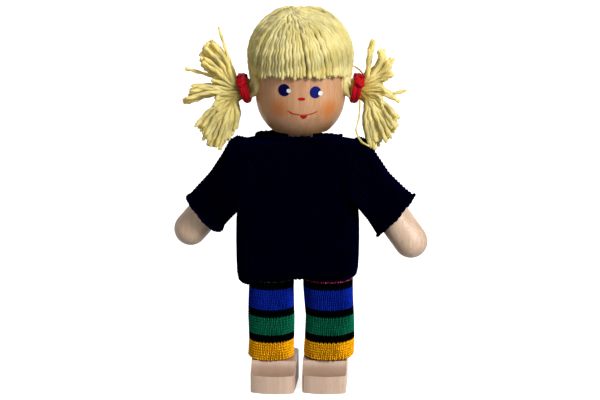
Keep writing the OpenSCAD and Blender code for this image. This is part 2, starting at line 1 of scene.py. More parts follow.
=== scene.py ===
# Peg doll: wooden head, dowel limbs and shoes, knitted clothes, yarn hair with
# two bound pigtails. Metres; the doll faces -Y and stands on Z = 0.
import math
import random

import bpy
import numpy as np
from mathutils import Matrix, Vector


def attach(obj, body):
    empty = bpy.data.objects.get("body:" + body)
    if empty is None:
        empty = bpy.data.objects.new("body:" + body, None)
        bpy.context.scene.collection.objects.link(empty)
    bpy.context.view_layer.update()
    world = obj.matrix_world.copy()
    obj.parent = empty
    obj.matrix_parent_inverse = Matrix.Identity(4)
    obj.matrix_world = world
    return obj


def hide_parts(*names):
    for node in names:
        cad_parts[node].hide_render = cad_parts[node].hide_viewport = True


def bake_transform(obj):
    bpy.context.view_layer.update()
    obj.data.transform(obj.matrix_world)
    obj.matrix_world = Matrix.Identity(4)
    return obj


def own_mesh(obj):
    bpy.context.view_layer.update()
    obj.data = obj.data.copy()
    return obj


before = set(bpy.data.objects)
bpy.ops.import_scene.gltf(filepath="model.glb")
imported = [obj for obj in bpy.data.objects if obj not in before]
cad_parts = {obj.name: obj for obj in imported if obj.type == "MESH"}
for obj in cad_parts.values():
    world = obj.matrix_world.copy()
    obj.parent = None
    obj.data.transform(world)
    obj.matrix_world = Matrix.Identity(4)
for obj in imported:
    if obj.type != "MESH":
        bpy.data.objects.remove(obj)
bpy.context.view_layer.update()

# Camera, lamps and floor: a long lens a little above the doll's middle, a pale
# paper floor under a white sky, one soft key lamp from the front right, a weaker
# one opposite and one behind. The picture's width and the lens shifts are in pixels.
MM = 0.001
MIDDLE = Vector((0, 0, 49 * MM))
LOOK_DOWN = math.radians(12)
CAMERA_REACH = 450 * MM
PICTURE_WIDTH = 600
SHIFT_RIGHT = -0.5
SHIFT_UP = -4.8
bpy.ops.object.select_all(action="DESELECT")
bpy.ops.object.camera_add(
    location=MIDDLE + CAMERA_REACH * Vector((0, -math.cos(LOOK_DOWN), math.sin(LOOK_DOWN))),
    rotation=(math.pi / 2 - LOOK_DOWN, 0, 0))
camera = bpy.context.object
camera.data.lens = 108
camera.data.sensor_width = 36
camera.data.shift_x = SHIFT_RIGHT / PICTURE_WIDTH
camera.data.shift_y = SHIFT_UP / PICTURE_WIDTH
camera.data.clip_start = 0.01
bpy.context.scene.camera = camera
bpy.context.scene.view_settings.view_transform = "Standard"


def node(tree, kind, **settings):
    """Adds a shader node. A setting that names a socket fills it or links to it."""
    made = tree.nodes.new("ShaderNode" + kind)
    for name, value in settings.items():
        socket = name.replace("_", " ")
        found = [s for s in made.inputs if s.name == socket and s.enabled]
        if name.startswith("in") and name[2:].isdigit():
            found = [made.inputs[int(name[2:])]]
        if not found:
            setattr(made, name, value)
        elif isinstance(value, bpy.types.NodeSocket):
            tree.links.new(value, found[0])
        else:
            found[0].default_value = value
    return made


def new_material(name):
    material = bpy.data.materials.new(name)
    material.use_nodes = True
    material.node_tree.nodes.clear()
    return material, material.node_tree


def finish_material(tree, shader):
    node(tree, "OutputMaterial", Surface=shader)


def white_to_camera(tree, seen, unseen):
    """Mixes two shaders: seen for the camera, mirrors and glass, unseen for light."""
    path = node(tree, "LightPath")
    mirror = node(tree, "Math", operation="MAXIMUM",
                  in0=path.outputs["Is Camera Ray"], in1=path.outputs["Is Glossy Ray"])
    glass = node(tree, "Math", operation="MAXIMUM",
                 in0=mirror.outputs[0], in1=path.outputs["Is Transmission Ray"])
    return node(tree, "MixShader", in0=glass.outputs[0], in1=unseen, in2=seen).outputs[0]


world = bpy.data.worlds.new("studio")
bpy.context.scene.world = world
world.use_nodes = True
world.node_tree.nodes.clear()
sky_seen = node(world.node_tree, "Background", Color=(1, 1, 1, 1), Strength=1.0)
sky_light = node(world.node_tree, "Background", Color=(1, 0.99, 0.97, 1), Strength=0.27)
node(world.node_tree, "OutputWorld",
     Surface=white_to_camera(world.node_tree, sky_seen.outputs[0], sky_light.outputs[0]))

bpy.ops.mesh.primitive_plane_add(size=6)
floor = bpy.context.object
floor.name = "floor"
floor_material, tree = new_material("floor_paper")
paper = node(tree, "BsdfDiffuse", Color=(0.9, 0.9, 0.9, 1))
paper_glow = node(tree, "Emission", Color=(1, 1, 1, 1), Strength=0.8)
paper_lit = node(tree, "AddShader", in0=paper.outputs[0], in1=paper_glow.outputs[0])
paper_dim = node(tree, "BsdfDiffuse", Color=(0.12, 0.115, 0.11, 1))
finish_material(tree, white_to_camera(tree, paper_lit.outputs[0], paper_dim.outputs[0]))
floor.data.materials.append(floor_material)


def soft_lamp(name, place, size, watts):
    bpy.ops.object.light_add(type="AREA", location=place)
    lamp = bpy.context.object
    lamp.name = name
    lamp.data.energy = watts
    lamp.data.size = size
    lamp.rotation_euler = (MIDDLE - Vector(place)).to_track_quat("-Z", "Y").to_euler()


soft_lamp("key_lamp", (0.5, -0.6, 0.52), 0.3, 9.3)
soft_lamp("fill_lamp", (-0.45, -0.8, 0.35), 0.5, 0.7)
soft_lamp("rim_lamp", (-0.15, 0.75, 0.6), 0.5, 2.2)

# Wood: torso, neck dowel, arms, legs and shoes are turned or cut from pale birch,
# sanded smooth. Fine fibres and broad streaks run along each piece, under a thin
# clear coat.
PALE_WOOD = (0.62, 0.43, 0.3, 1)
DEEP_WOOD = (0.45, 0.28, 0.17, 1)


def object_place(tree):
    return node(tree, "TexCoord").outputs["Object"]


def axis(tree, vector, letter):
    return node(tree, "SeparateXYZ", Vector=vector).outputs[letter]


def noise(tree, place, scale, detail, roughness=0.5):
    return node(tree, "TexNoise", Vector=place, Scale=scale, Detail=detail,
                Roughness=roughness).outputs["Fac"]


def spread(tree, value, low, high, to_low=0.0, to_high=1.0, smooth=False):
    """Spreads a value that runs from low to high over to_low to to_high."""
    return node(tree, "MapRange", Value=value, From_Min=low, From_Max=high, To_Min=to_low,
                To_Max=to_high, interpolation_type="SMOOTHSTEP" if smooth else "LINEAR").outputs[0]


def mix(tree, share, first, second):
    """The first colour where share is 0, the second where it is 1."""
    return node(tree, "Mix", data_type="RGBA", in0=share, in6=first, in7=second).outputs[2]


def product(tree, first, second):
    return node(tree, "Math", operation="MULTIPLY", in0=first, in1=second).outputs[0]


def bump(tree, height, strength, depth):
    """A fine unevenness, with its depth in mm."""
    return node(tree, "Bump", Strength=strength, Distance=depth * MM, Height=height).outputs[0]


def toned(colour, by):
    return tuple(min(1, c * by) for c in colour[:3]) + (1,)


def birch(name, pale, deep, turn=(0, 0, 0), fleck=0.5, coat=0.12):
    """Birch whose fibres run along Z, or along Z turned by turn. fleck is how much
    the short dark pores show."""
    material, tree = new_material(name)
    place = object_place(tree)
    along = node(tree, "Mapping", Vector=place, Rotation=turn, Scale=(1, 1, 0.05)).outputs[0]
    pores_at = node(tree, "Mapping", Vector=place, Rotation=turn, Scale=(1, 1, 0.22)).outputs[0]
    fibres = noise(tree, along, 2600, 4, 0.65)
    streaks = spread(tree, noise(tree, along, 420, 3, 0.6), 0.35, 0.7)
    pores = spread(tree, noise(tree, pores_at, 3100, 2), 0.62, 0.74)
    fine = product(tree, spread(tree, fibres, 0.35, 0.75), 0.45)
    both = node(tree, "Math", operation="MULTIPLY_ADD", in0=streaks, in1=0.7, in2=fine).outputs[0]
    grain = mix(tree, product(tree, pores, fleck), mix(tree, both, pale, deep), toned(deep, 0.55))
    shader = node(tree, "BsdfPrincipled", Base_Color=grain, Roughness=0.5, Coat_Weight=coat,
                  Coat_Roughness=0.35, Normal=bump(tree, fibres, 0.35, 0.03))
    finish_material(tree, shader.outputs[0])
    return material, tree, grain


def recolour(tree, colour):
    """Gives the wood of a material another colour."""
    shader = next(n for n in tree.nodes if n.type == "BSDF_PRINCIPLED")
    tree.links.new(colour, shader.inputs["Base Color"])


def finish_node(material, *names):
    for name in names:
        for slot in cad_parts[name].material_slots:
            slot.material = material


body_birch = birch("body_birch", PALE_WOOD, DEEP_WOOD)[0]
shoe_birch, tree, grain = birch("shoe_birch", (0.66, 0.475, 0.365, 1), (0.5, 0.345, 0.25, 1))
# Faces that look up are painted darker: partly the birch's darker end grain, partly painted shade of the
# trouser legs over the shoes' tops.
facing_up = axis(tree, node(tree, "TexCoord").outputs["Normal"], "Z")
end_grain_and_shade = spread(tree, facing_up, 0.15, 0.75, 0.0, 0.7, smooth=True)
recolour(tree, mix(tree, end_grain_and_shade, grain, (0.22, 0.13, 0.08, 1)))
finish_node(body_birch, "torso", "neck_peg", "leg_right", "leg_left")
finish_node(shoe_birch, "shoe_right", "shoe_left")

# Limb wires: soft annealed steel wire through the shoulders and hips, a little
# dull, with the drawing marks of the die along it.
SIDES = ((-1, "right"), (1, "left"))
wire_steel, tree = new_material("annealed_wire")
drawn = noise(tree, object_place(tree), 2400, 3)
wire_shade = mix(tree, drawn, (0.2, 0.19, 0.18, 1), (0.34, 0.33, 0.31, 1))
wire_shader = node(tree, "BsdfPrincipled", Base_Color=wire_shade, Metallic=1.0, Roughness=0.42,
                   Normal=bump(tree, drawn, 0.2, 0.02))
finish_material(tree, wire_shader.outputs[0])
finish_node(wire_steel, *[f"{part}_{name}" for side, name in SIDES for part in (
    "shoulder_wire", "arm_wire", "hip_wire", "hip_bend", "leg_wire")])

# Trouser legs: stocking stitch in rows of wool, striped from the hem up in yellow,
# black, green, black, blue, black and then plum, or black again on the right leg.
# Each is a knitted tube on its leg.
STITCH_DEPTH = 0.4 * MM
STITCH_COLUMNS = 4
KNIT_WALL = 0.42 * MM
UNEVEN = 0.13
WAVINESS = 0.012


def stitch_height(across, along):
    """Height of the yarn, 0 to 1: across is 0 or 1 in the grooves, along 0 at a pinch."""
    return np.sin(np.pi * across) ** 0.7 * (0.22 + 0.78 * np.abs(np.sin(np.pi * along)))


def edit(action="SELECT"):
    """Edits the active piece, with all or none of it selected."""
    bpy.ops.object.mode_set(mode="EDIT")
    bpy.ops.mesh.select_all(action=action)


def end_edit():
    bpy.ops.object.mode_set(mode="OBJECT")


def give_wall(piece, thick, offset=-1):
    """Gives the active piece, a surface, its thickness: inwards, or outwards for 1."""
    wall = piece.modifiers.new("wall", "SOLIDIFY")
    wall.thickness = thick
    wall.offset = offset
    bpy.ops.object.modifier_apply(modifier="wall")


def knit(name, wales, courses, place, rows=4, lean=(1, 1), closed=True, hole=None):
    """Knits a flat panel of V stitches, and lays it on place(u, v), a function of
    shares round and up that gives points. lean says which ends keep their zigzag."""
    columns = wales * STITCH_COLUMNS
    bpy.ops.object.select_all(action="DESELECT")
    bpy.ops.mesh.primitive_grid_add(x_subdivisions=columns, y_subdivisions=courses * rows, size=1)
    panel = bpy.context.object
    panel.name = panel.data.name = name
    ix, iy = np.meshgrid(np.arange(columns + 1), np.arange(courses * rows + 1))
    ix, iy = ix.ravel(), iy.ravel()
    across = np.abs(2 * (ix % STITCH_COLUMNS) / STITCH_COLUMNS - 1)
    fade = np.minimum(lean[0] + iy / rows, 1) * np.minimum(lean[1] + courses - iy / rows, 1)
    drift = np.sin(iy / rows * 0.9 + 2.7 * np.sin(ix / STITCH_COLUMNS * 0.63))
    drift = drift * np.minimum(1, np.minimum(ix, columns - ix))
    u = ix / columns + UNEVEN * drift / wales
    v = (iy / rows + (across - 0.5) * fade) / courses
    step = 0.002
    at = place(u, v)
    du = place(u + step, v) - place(u - step, v)
    dv = place(u, np.minimum(v + step, 1.2)) - place(u, v - step)
    normal = np.cross(du, dv)
    normal /= np.linalg.norm(normal, axis=1)[:, None] + 1e-12
    height = stitch_height(across, (iy % rows) / rows)
    at = at + normal * ((height - 1) * STITCH_DEPTH)[:, None]
    panel.data.vertices.foreach_set("co", at.astype(np.float32).ravel())
    relief = panel.data.attributes.new("relief", "FLOAT", "POINT")
    relief.data.foreach_set("value", height.astype(np.float32))
    panel.data.update()
    edit()
    if closed:
        bpy.ops.mesh.remove_doubles(threshold=0.002 * MM)
    end_edit()
    if hole:
        centres = np.empty(len(panel.data.polygons) * 3)
        panel.data.polygons.foreach_get("center", centres)
        cut = hole(centres.reshape(-1, 3))
        edit("DESELECT")
        end_edit()
        panel.data.polygons.foreach_set("select", cut)
        bpy.ops.object.mode_set(mode="EDIT")
        bpy.ops.mesh.select_mode(type="FACE")
        bpy.ops.mesh.delete(type="FACE")
        end_edit()
    give_wall(panel, KNIT_WALL)
    bpy.ops.object.shade_smooth_by_angle(angle=math.radians(62))
    return panel


THREAD_HALF_W = 0.14 * MM
THREAD_BEATS = 380.0


def knit_wool(name, bands, total, stitching=None):
    """Wool for knitting. bands are (courses, colour) from the bottom of the panel;
    stitching is a dotted line of thread round the piece, (height, colour)."""
    material, tree = new_material(name)
    texture = node(tree, "TexCoord")
    place = texture.outputs["Object"]
    where = node(tree, "SeparateXYZ", Vector=texture.outputs["UV"])
    stripes = node(tree, "ValToRGB", Fac=where.outputs["Y"])
    ramp = stripes.color_ramp
    ramp.interpolation = "CONSTANT"
    start = 0
    for k, (courses, rgb) in enumerate(bands):
        stop = ramp.elements[k] if k < 1 else ramp.elements.new(start / total)
        stop.position, stop.color = start / total, rgb
        start += courses
    ramp.elements.remove(ramp.elements[len(ramp.elements) - 1])
    wool = stripes.outputs[0]
    if stitching:
        height, thread = stitching
        near = node(tree, "Math", operation="COMPARE", in0=axis(tree, place, "Z"), in1=height,
                    in2=THREAD_HALF_W).outputs[0]
        beat = node(tree, "Math", operation="SINE",
                    in0=product(tree, where.outputs["X"], THREAD_BEATS)).outputs[0]
        wool = mix(tree, product(tree, near, spread(tree, beat, -0.7, 0.1)), wool, thread)
    fuzz = noise(tree, place, 1900, 4, 0.75)
    relief = node(tree, "Attribute", attribute_name="relief", attribute_type="GEOMETRY").outputs["Fac"]
    # Painted shade and highlight: the colour is darker in the grooves between stitches and lighter on the
    # yarn's tops.
    light = spread(tree, relief, 0.05, 0.95, 0.1, 1.62)
    light = product(tree, light, spread(tree, fuzz, 0.3, 0.7, 0.42, 1.65))
    light = product(tree, light, spread(tree, noise(tree, place, 160, 2), 0.3, 0.7, 0.82, 1.18))
    shaded = node(tree, "VectorMath", operation="SCALE", in0=wool, Scale=light).outputs[0]
    shader = node(tree, "BsdfPrincipled", Base_Color=shaded, Roughness=0.9,
                  Specular_IOR_Level=0.0, Normal=bump(tree, fuzz, 0.6, 0.05))
    finish_material(tree, shader.outputs[0])
    return material


LEG_X = 7.2 * MM
TROUSER_HEM = 7.6 * MM
TROUSER_TOP = 33.0 * MM
WAIST_LINE = 27.95 * MM
YELLOW = (0.93, 0.42, 0.0055, 1)
GREEN = (0.0045, 0.135, 0.069, 1)
BLUE = (0.0035, 0.0195, 0.31, 1)
BLACK = (0.001, 0.0016, 0.0018, 1)
PLUM = (0.03, 0.002, 0.012, 1)
leg_bands = [(7, YELLOW), (3, BLACK), (7, GREEN), (3, BLACK), (8, BLUE), (3, BLACK)]
trouser_bands = {-1: leg_bands + [(9, BLACK)], 1: leg_bands + [(9, PLUM)]}
trouser_courses = sum(courses for courses, rgb in trouser_bands[1])
trouser_thread = {-1: (0.085, 0.085, 0.1, 1), 1: (0.36, 0.06, 0.15, 1)}
# At these shares of the way up, each leg's height, middle and radius in mm.
TROUSER_STANDS = (0, 0.04, 0.15, 0.4, 0.7, 1)
trouser_rise = {-1: (7.6, 8.6, 11.5, 18.1, 25.85, 33.0), 1: (7.85, 8.8, 11.6, 18.1, 25.85, 33.0)}
trouser_mid = {-1: (-7.5, -7.48, -7.4, -7.33, -7.35, -7.3), 1: (7.2, 7.2, 7.3, 7.48, 6.95, 6.8)}
trouser_r = {-1: (5.9, 5.85, 5.8, 5.95, 5.75, 5.85), 1: (6.45, 6.45, 6.4, 6.2, 6.35, 6.4)}
for side, name in SIDES:
    def on_leg(u, v):
        turn = 2 * np.pi * u + np.pi / 2
        x, r, z = (np.interp(v, TROUSER_STANDS, row[side]) * MM
                   for row in (trouser_mid, trouser_r, trouser_rise))
        r = r * (1 + WAVINESS * np.sin(5 * turn + 9 * v))
        z = z + (v - np.clip(v, 0, 1)) * (TROUSER_TOP - TROUSER_HEM)
        return np.stack([x + r * np.cos(turn), r * np.sin(turn), z], 1)

    leg_tube = knit(f"trousers_{name}", 38, trouser_courses, on_leg, lean=(1, 0))
    leg_tube.data.materials.append(knit_wool(f"striped_wool_{name}", trouser_bands[side], trouser_courses,
                                             stitching=(WAIST_LINE, trouser_thread[side])))
    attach(leg_tube, f"{name}_leg")
    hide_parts(f"trouser_leg_{name}")

# Trouser seat: plum wool, one half round each hip, joined between the legs and
# closed in to the waist under the sweater.
SEAT_R = 6.4 * MM
SEAT_LAP = 0.4 * MM
WAIST_TOP = 46.5 * MM
plum_wool = knit_wool("plum_wool", [(1, PLUM)], 1)


def grow(value, start, length):
    """0 up to start, then rising to 1 over length."""
    return np.clip((value - start) / length, 0, 1)


for side, name in SIDES:
    def on_hip(u, v):
        turn = 2 * np.pi * u + np.pi / 2
        z = TROUSER_TOP - SEAT_LAP + (WAIST_TOP - TROUSER_TOP) * v
        grown = grow(v, 0.05, 0.35)
        grown = grown * grown * (3 - 2 * grown)
        start = trouser_r[side][-1] * MM
        r = start + (SEAT_R - start) * grown
        x = r * np.cos(turn) + (1 - grown) * (trouser_mid[side][-1] * MM - side * LEG_X)
        inner = np.maximum(0, -side * x) / r
        x = np.where(side * x < 0, x * (1 + grown * (LEG_X / r - 1)), x)
        y = r * np.sin(turn)
        fuller = np.abs(y) + grown * (r - np.abs(y)) * np.minimum(1, 3 * (1 - inner))
        y = np.where(side * x < 0, np.sign(y) * fuller, y)
        return np.stack([side * LEG_X + x, y, z], 1)

    seat_half = knit(f"seat_{name}", 40, 20, on_hip, lean=(0, 1))
    seat_half.data.materials.append(plum_wool)
    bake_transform(seat_half)
    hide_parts("trouser_seat")

# Sweater body: navy wool, knitted plain. It hangs from the shoulders; below the waist it is in two
# halves.
SWEATER_HEM = 29.5 * MM
SWEATER_TALL = 35.0 * MM
SWEATER_HALF_W = 15.3 * MM
SWEATER_HALF_D = 8.6 * MM
SWEATER_SHIFT = -0.4 * MM
SWEATER_SWAY = 0.35 * MM
HEM_DROOP = 1.9 * MM
HEM_DROOP_LEFT = 0.5 * MM
COLLAR_SLUMP = 0.8 * MM
COLLAR_DIP = 0.1 * MM
HEM_EASE = 0.3 * MM
SQUARENESS = 2.7
WAIST = 45.0 * MM
ARMHOLE_Z = 53.5 * MM
ARMHOLE_HALF_D = 5.6 * MM
ARMHOLE_HALF_H = 7.2 * MM
ARMHOLE_MIN_X = 7 * MM
# Share of the way up, and shares of the half width and the half depth there.
sweater_rows = np.array([
    (0, 0.975, 0.94), (0.04, 1, 0.985), (0.12, 1.01, 1), (0.25, 1.015, 1), (0.38, 1.01, 0.985),
    (0.5, 0.99, 0.97), (0.64, 0.98, 0.96), (0.78, 0.975, 0.94), (0.88, 0.975, 0.9),
    (0.93, 0.97, 0.86), (0.955, 0.94, 0.79), (0.966, 0.87, 0.73), (0.974, 0.78, 0.67),
    (0.982, 0.71, 0.61), (1, 0.68, 0.55)])
FINE_STEPS = 600
dense = np.linspace(0, 1, FINE_STEPS + 1)
row_w, row_d = (np.interp(dense, sweater_rows[:, 0], sweater_rows[:, k]) for k in (1, 2))
fine_turn = np.linspace(0, 2 * np.pi, 2001)


def squared(wave):
    """Squares off a sine or cosine, for a section between an ellipse and a box."""
    return np.sign(wave) * np.abs(wave) ** (2 / SQUARENESS)


def running_sum(steps):
    return np.concatenate([[0], np.cumsum(steps)])


climb = running_sum(np.hypot(np.diff(row_w) * SWEATER_HALF_W, SWEATER_TALL / FINE_STEPS))
sweater_long = climb[-1]
waist_way = np.interp((WAIST - SWEATER_HEM) / SWEATER_TALL, dense, climb) / sweater_long
round_long = running_sum(np.hypot(np.diff(SWEATER_HALF_W * squared(np.cos(fine_turn))),
                                  np.diff(SWEATER_HALF_D * squared(np.sin(fine_turn)))))
sweater_girth = round_long[-1]


def on_sweater(u, way):
    """u goes round from the middle of the back by the doll's right; way goes up."""
    turn = np.interp((u + 0.25) % 1 * sweater_girth, round_long, fine_turn)
    height = np.interp(way * sweater_long, climb, dense)
    height = height + np.minimum(way, 0) * sweater_long / SWEATER_TALL
    height = height + np.maximum(way - 1, 0) * sweater_long / SWEATER_TALL
    wide, deep = np.interp(height, dense, row_w), np.interp(height, dense, row_d)
    wave = 1 + WAVINESS * np.sin(7 * turn + np.pi / 2 * height) * np.clip(1 - height, 0, 1)
    x = SWEATER_SHIFT + SWEATER_HALF_W * wide * wave * squared(np.cos(turn))
    x = x - SWEATER_SWAY * grow(1 - height, 0, 0.5)
    y = SWEATER_HALF_D * deep * wave * squared(np.sin(turn))
    droop = HEM_DROOP * grow(-x, 8 * MM, 5 * MM) + HEM_DROOP_LEFT * grow(x, 6 * MM, 5 * MM)
    droop = (droop + HEM_EASE) * np.clip(1 - height / 0.4, 0, 1) ** 2
    slump = COLLAR_SLUMP * grow(x, 0, 6 * MM) * grow(height, 0.955, 0.045)
    slump = slump * np.clip(y / (4 * MM) + 0.3, 0, 1)
    dip = COLLAR_DIP * grow(height, 0.97, 0.03) * np.clip(1 - np.abs(x / MM - 1) / 4.5, 0, 1) * (y < 0)
    return np.stack([x, y, SWEATER_HEM + SWEATER_TALL * height - droop - slump - dip], 1)


def armholes(centres):
    x, y, z = centres.T
    across, up = y / ARMHOLE_HALF_D, (z - ARMHOLE_Z) / ARMHOLE_HALF_H
    return (np.abs(x) > ARMHOLE_MIN_X) & (across * across + up * up < 1)


def new_curve(name, **settings):
    curve = bpy.data.curves.new(name, "CURVE")
    for setting, value in settings.items():
        setattr(curve, setting, value)
    return curve


def add_line(curve, points, closed=False, **values):
    """Adds a line through points, in metres, to a curve. values are lists with a
    number for each point, such as its radius or its tilt."""
    line = curve.splines.new("POLY")
    line.points.add(len(points) - 1)
    line.use_cyclic_u = closed
    places = np.ones((len(points), 4), np.float32)
    places[:, :3] = points
    line.points.foreach_set("co", places.ravel())
    for name, numbers in values.items():
        line.points.foreach_set(name, numbers.astype(np.float32))


def select_only(piece):
    bpy.ops.object.select_all(action="DESELECT")
    piece.select_set(True)
    bpy.context.view_layer.objects.active = piece


def as_mesh(name, curve):
    """Makes a piece with a mesh out of a curve, and leaves it selected."""
    piece = bpy.data.objects.new(name, curve)
    bpy.context.scene.collection.objects.link(piece)
    select_only(piece)
    bpy.ops.object.convert(target="MESH")
    return bpy.context.object


def edge_roll(name, ring, thick, loops, wool):
    """The rolled edge of a knitted piece: a row of loops along ring, points in metres."""
    share = np.arange(len(ring)) / len(ring)
    swell = 0.72 + 0.42 * np.abs(np.sin(np.pi * share * loops)) + 0.12 * np.sin(share * loops * 2.1)
    curve = new_curve(name, dimensions="3D", bevel_depth=thick, bevel_resolution=2, use_fill_caps=True)
    add_line(curve, ring, closed=True, radius=swell)
    roll = as_mesh(name, curve)
    bpy.ops.object.shade_smooth()
    relief = roll.data.attributes.new("relief", "FLOAT", "POINT")
    relief.data.foreach_set("value", np.full(len(roll.data.vertices), 0.6, np.float32))
    roll.data.materials.append(wool)
    return roll


navy_wool = knit_wool("navy_wool", [(1, (0.0002, 0.0003, 0.0068, 1))], 1)
yoke = knit("sweater_yoke", 82, 37, lambda u, v: on_sweater(u, waist_way + (1 - waist_way) * v),
            rows=3, lean=(0, 0.2), hole=armholes)
yoke.data.materials.append(navy_wool)
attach(yoke, "trunk")
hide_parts("sweater_body")
round_u = np.linspace(0, 1, 320, endpoint=False)
collar_ring = on_sweater(round_u, np.full_like(round_u, 0.997))
collar = edge_roll("collar_roll", collar_ring, 0.42 * MM, 36, navy_wool)
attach(collar, "trunk")
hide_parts("sweater_body")
for start, name in ((0, "right"), (0.5, "left")):
    skirt = knit(f"sweater_hem_{name}", 41, 24,
                 lambda u, v: on_sweater(start + np.clip(u, 0, 1) / 2, waist_way * v),
                 lean=(0.3, 0), closed=False)
    skirt.data.materials.append(navy_wool)
    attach(skirt, "trunk")
    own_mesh(skirt)
    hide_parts("sweater_body")

# Sleeves: the same navy wool, sewn round the armholes, short and wide over the dowel arms. Each is a cap
# and the rest of the sleeve, and the slack of the wool lies in a fold between the arm and the body.
SHOULDER_X = 15.2 * MM
SHOULDER_Z = 54.7 * MM
SLEEVE_HALF_H = 9.2 * MM
SLEEVE_HALF_D = 7.0 * MM
CUFF_R = 6.0 * MM
CUFF_REACH = 14.4 * MM
cuff_skew = {-1: -0.45 * MM, 1: 2.2 * MM}
cuff_drop = {-1: 1.0 * MM, 1: 0.7 * MM}
cuff_front = {-1: 0.9 * MM, 1: 0.0}
root_rise = {-1: 1.1 * MM, 1: 0.6 * MM}
pit_rise = {-1: 0.2 * MM, 1: 1.5 * MM}
cuff_flare = {-1: 0.0, 1: 1.6 * MM}
flare_turn = {-1: 0.4, 1: 0.0}
SLEEVE_PUFF = 2.6 * MM
SLEEVE_ROOM = 1.1 * MM
SEAM_LIFT = 0.35 * MM
ROOT_TUCK = 2.0 * MM
CAP_X = 16.9 * MM
SLEEVE_WALES = 48
FOLD_R = 4.75 * MM
FOLD_START = 3.6 * MM
FOLD_END = 13.0 * MM
FOLD_WRAP = math.radians(230)
lift_shares = {
    -1: np.array([(0, 0), (0.06, 0.85), (0.16, 1.1), (0.34, 0.65), (0.6, 0.2), (0.85, 0.1), (1, 0)]),
    1: np.array([(0, 0), (0.06, 0.8), (0.16, 1.15), (0.34, 0.62), (0.6, 0.05), (0.85, -0.05), (1, 0)])}
arm_down = {-1: math.radians(52.8), 1: math.radians(54.1)}
arm_forward = {-1: math.radians(-21), 1: math.radians(10)}


def arm_frame(side):
    """The shoulder, the way the arm points, and two ways across it: up and back."""
    down, forward = arm_down[side], arm_forward[side]
    way = np.array([side * math.cos(down), -math.sin(down) * math.sin(forward),
                    -math.sin(down) * math.cos(forward)])
    up = np.array([0, 0, 1]) - way * way[2]
    up /= np.linalg.norm(up)
    return np.array([side * SHOULDER_X, 0, SHOULDER_Z]), way, up, np.cross(up, way) * side


def sleeve_point(side, turn, s):
    """turn is 0 at the top of the sleeve; s is 0 at the armhole and 1 at the cuff."""
    high, back = np.cos(turn), np.sin(turn)
    y, z = SLEEVE_HALF_D * back, ARMHOLE_Z + SLEEVE_HALF_H * high
    share = (z - SWEATER_HEM) / SWEATER_TALL
    wide, deep = np.interp(share, dense, row_w), np.interp(share, dense, row_d)
    full = 1 - np.minimum(1, np.abs(y) / (SWEATER_HALF_D * deep)) ** SQUARENESS
    x = side * (SWEATER_HALF_W * wide * full ** (1 / SQUARENESS) + SEAM_LIFT) + SWEATER_SHIFT
    top, low = np.clip(high, 0, 1) ** 3, np.clip(-high, 0, 1) ** 3
    z = z + root_rise[side] * top + pit_rise[side] * low
    root = np.stack([x - side * ROOT_TUCK * top, y, z], 1)
    shoulder, way, up, across = arm_frame(side)
    ring = high[:, None] * up + back[:, None] * across
    flare = CUFF_R + cuff_flare[side] * np.clip(np.cos(turn + flare_turn[side]), 0, 1) ** 2
    skew = cuff_skew[side] * np.clip(high, 0, 1) ** 2 + cuff_drop[side] * np.minimum(high, 0)
    skew = skew + cuff_front[side] * np.clip(-back, 0, 1)
    cuff = shoulder + way * CUFF_REACH - way * skew[:, None] + flare[:, None] * ring
    lift = SLEEVE_PUFF * np.interp(s, *lift_shares[side].T) * np.maximum(0, high)
    top_way = (cuff - root) / np.linalg.norm(cuff - root, axis=1)[:, None]
    outwards = -np.cross(np.array([0, side, 0]), top_way)
    room = SLEEVE_ROOM * np.sin(np.pi * np.clip(s / 0.7, 0, 1)) * back
    flat = root * (1 - s)[:, None] + cuff * s[:, None] + outwards * lift[:, None]
    return flat + np.array([0, 1, 0]) * room[:, None]


cut_turns = np.linspace(0, 2 * np.pi, SLEEVE_WALES * 4 + 1)
tries = np.linspace(0, 1, 201)
for side, name in SIDES:
    reach = np.array([np.abs(sleeve_point(side, np.full_like(tries, t), tries)[:, 0]) for t in cut_turns])
    cut_at = np.array([np.interp(CAP_X, row, tries) for row in reach])

    def cap_end(turn):
        return np.interp((turn / (2 * np.pi)) % 1, cut_turns / (2 * np.pi), cut_at)

    def on_cap(u, v):
        turn = -side * 2 * np.pi * u
        return sleeve_point(side, turn, cap_end(turn) * v)

    def on_sleeve(u, v):
        turn = -side * 2 * np.pi * u
        start = cap_end(turn)
        return sleeve_point(side, turn, start + (1 - start) * v)

    def on_fold(u, v):
        shoulder, way, up, across = arm_frame(side)
        turn = np.pi - side * (u - 0.5) * FOLD_WRAP
        ring = np.cos(turn)[:, None] * up + np.sin(turn)[:, None] * across
        along = FOLD_START + (FOLD_END - FOLD_START) * v
        return shoulder + along[:, None] * way + FOLD_R * ring

    fold = knit(f"sleeve_fold_{name}", 19, 14, on_fold, lean=(0, 0), closed=False)
    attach(fold, f"{name}_arm")
    cap = knit(f"sleeve_cap_{name}", SLEEVE_WALES, 7, on_cap, lean=(0, 0))
    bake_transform(cap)
    sleeve = knit(f"sleeve_{name}_tube", SLEEVE_WALES, 20, on_sleeve, lean=(0, 0.2))
    round_turn = np.linspace(0, 2 * np.pi, 240, endpoint=False)
    cuff_ring = sleeve_point(side, round_turn, np.full_like(round_turn, 0.992))
    roll = edge_roll(f"cuff_roll_{name}", cuff_ring, 0.36 * MM, 27, navy_wool)
    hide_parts(f"sleeve_{name}")
    for part in (sleeve, roll):
        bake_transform(part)
    for part in (cap, sleeve, fold):
        part.data.materials.append(navy_wool)
        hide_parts(f"sleeve_{name}")

# Arms: birch dowels with ball ends, paler than the body, their fibres along the
# dowel. The left one shows more of the short dark pores.
for side, name in SIDES:
    lean = Vector(arm_frame(side)[1]).rotation_difference(Vector((0, 0, -1))).to_euler()
    arm_birch = birch(f"arm_birch_{name}", (0.72, 0.53, 0.39, 1), (0.5, 0.335, 0.22, 1), tuple(lean),
                      fleck=0.6 + 0.3 * side, coat=0.03)[0]
    finish_node(arm_birch, f"arm_{name}")
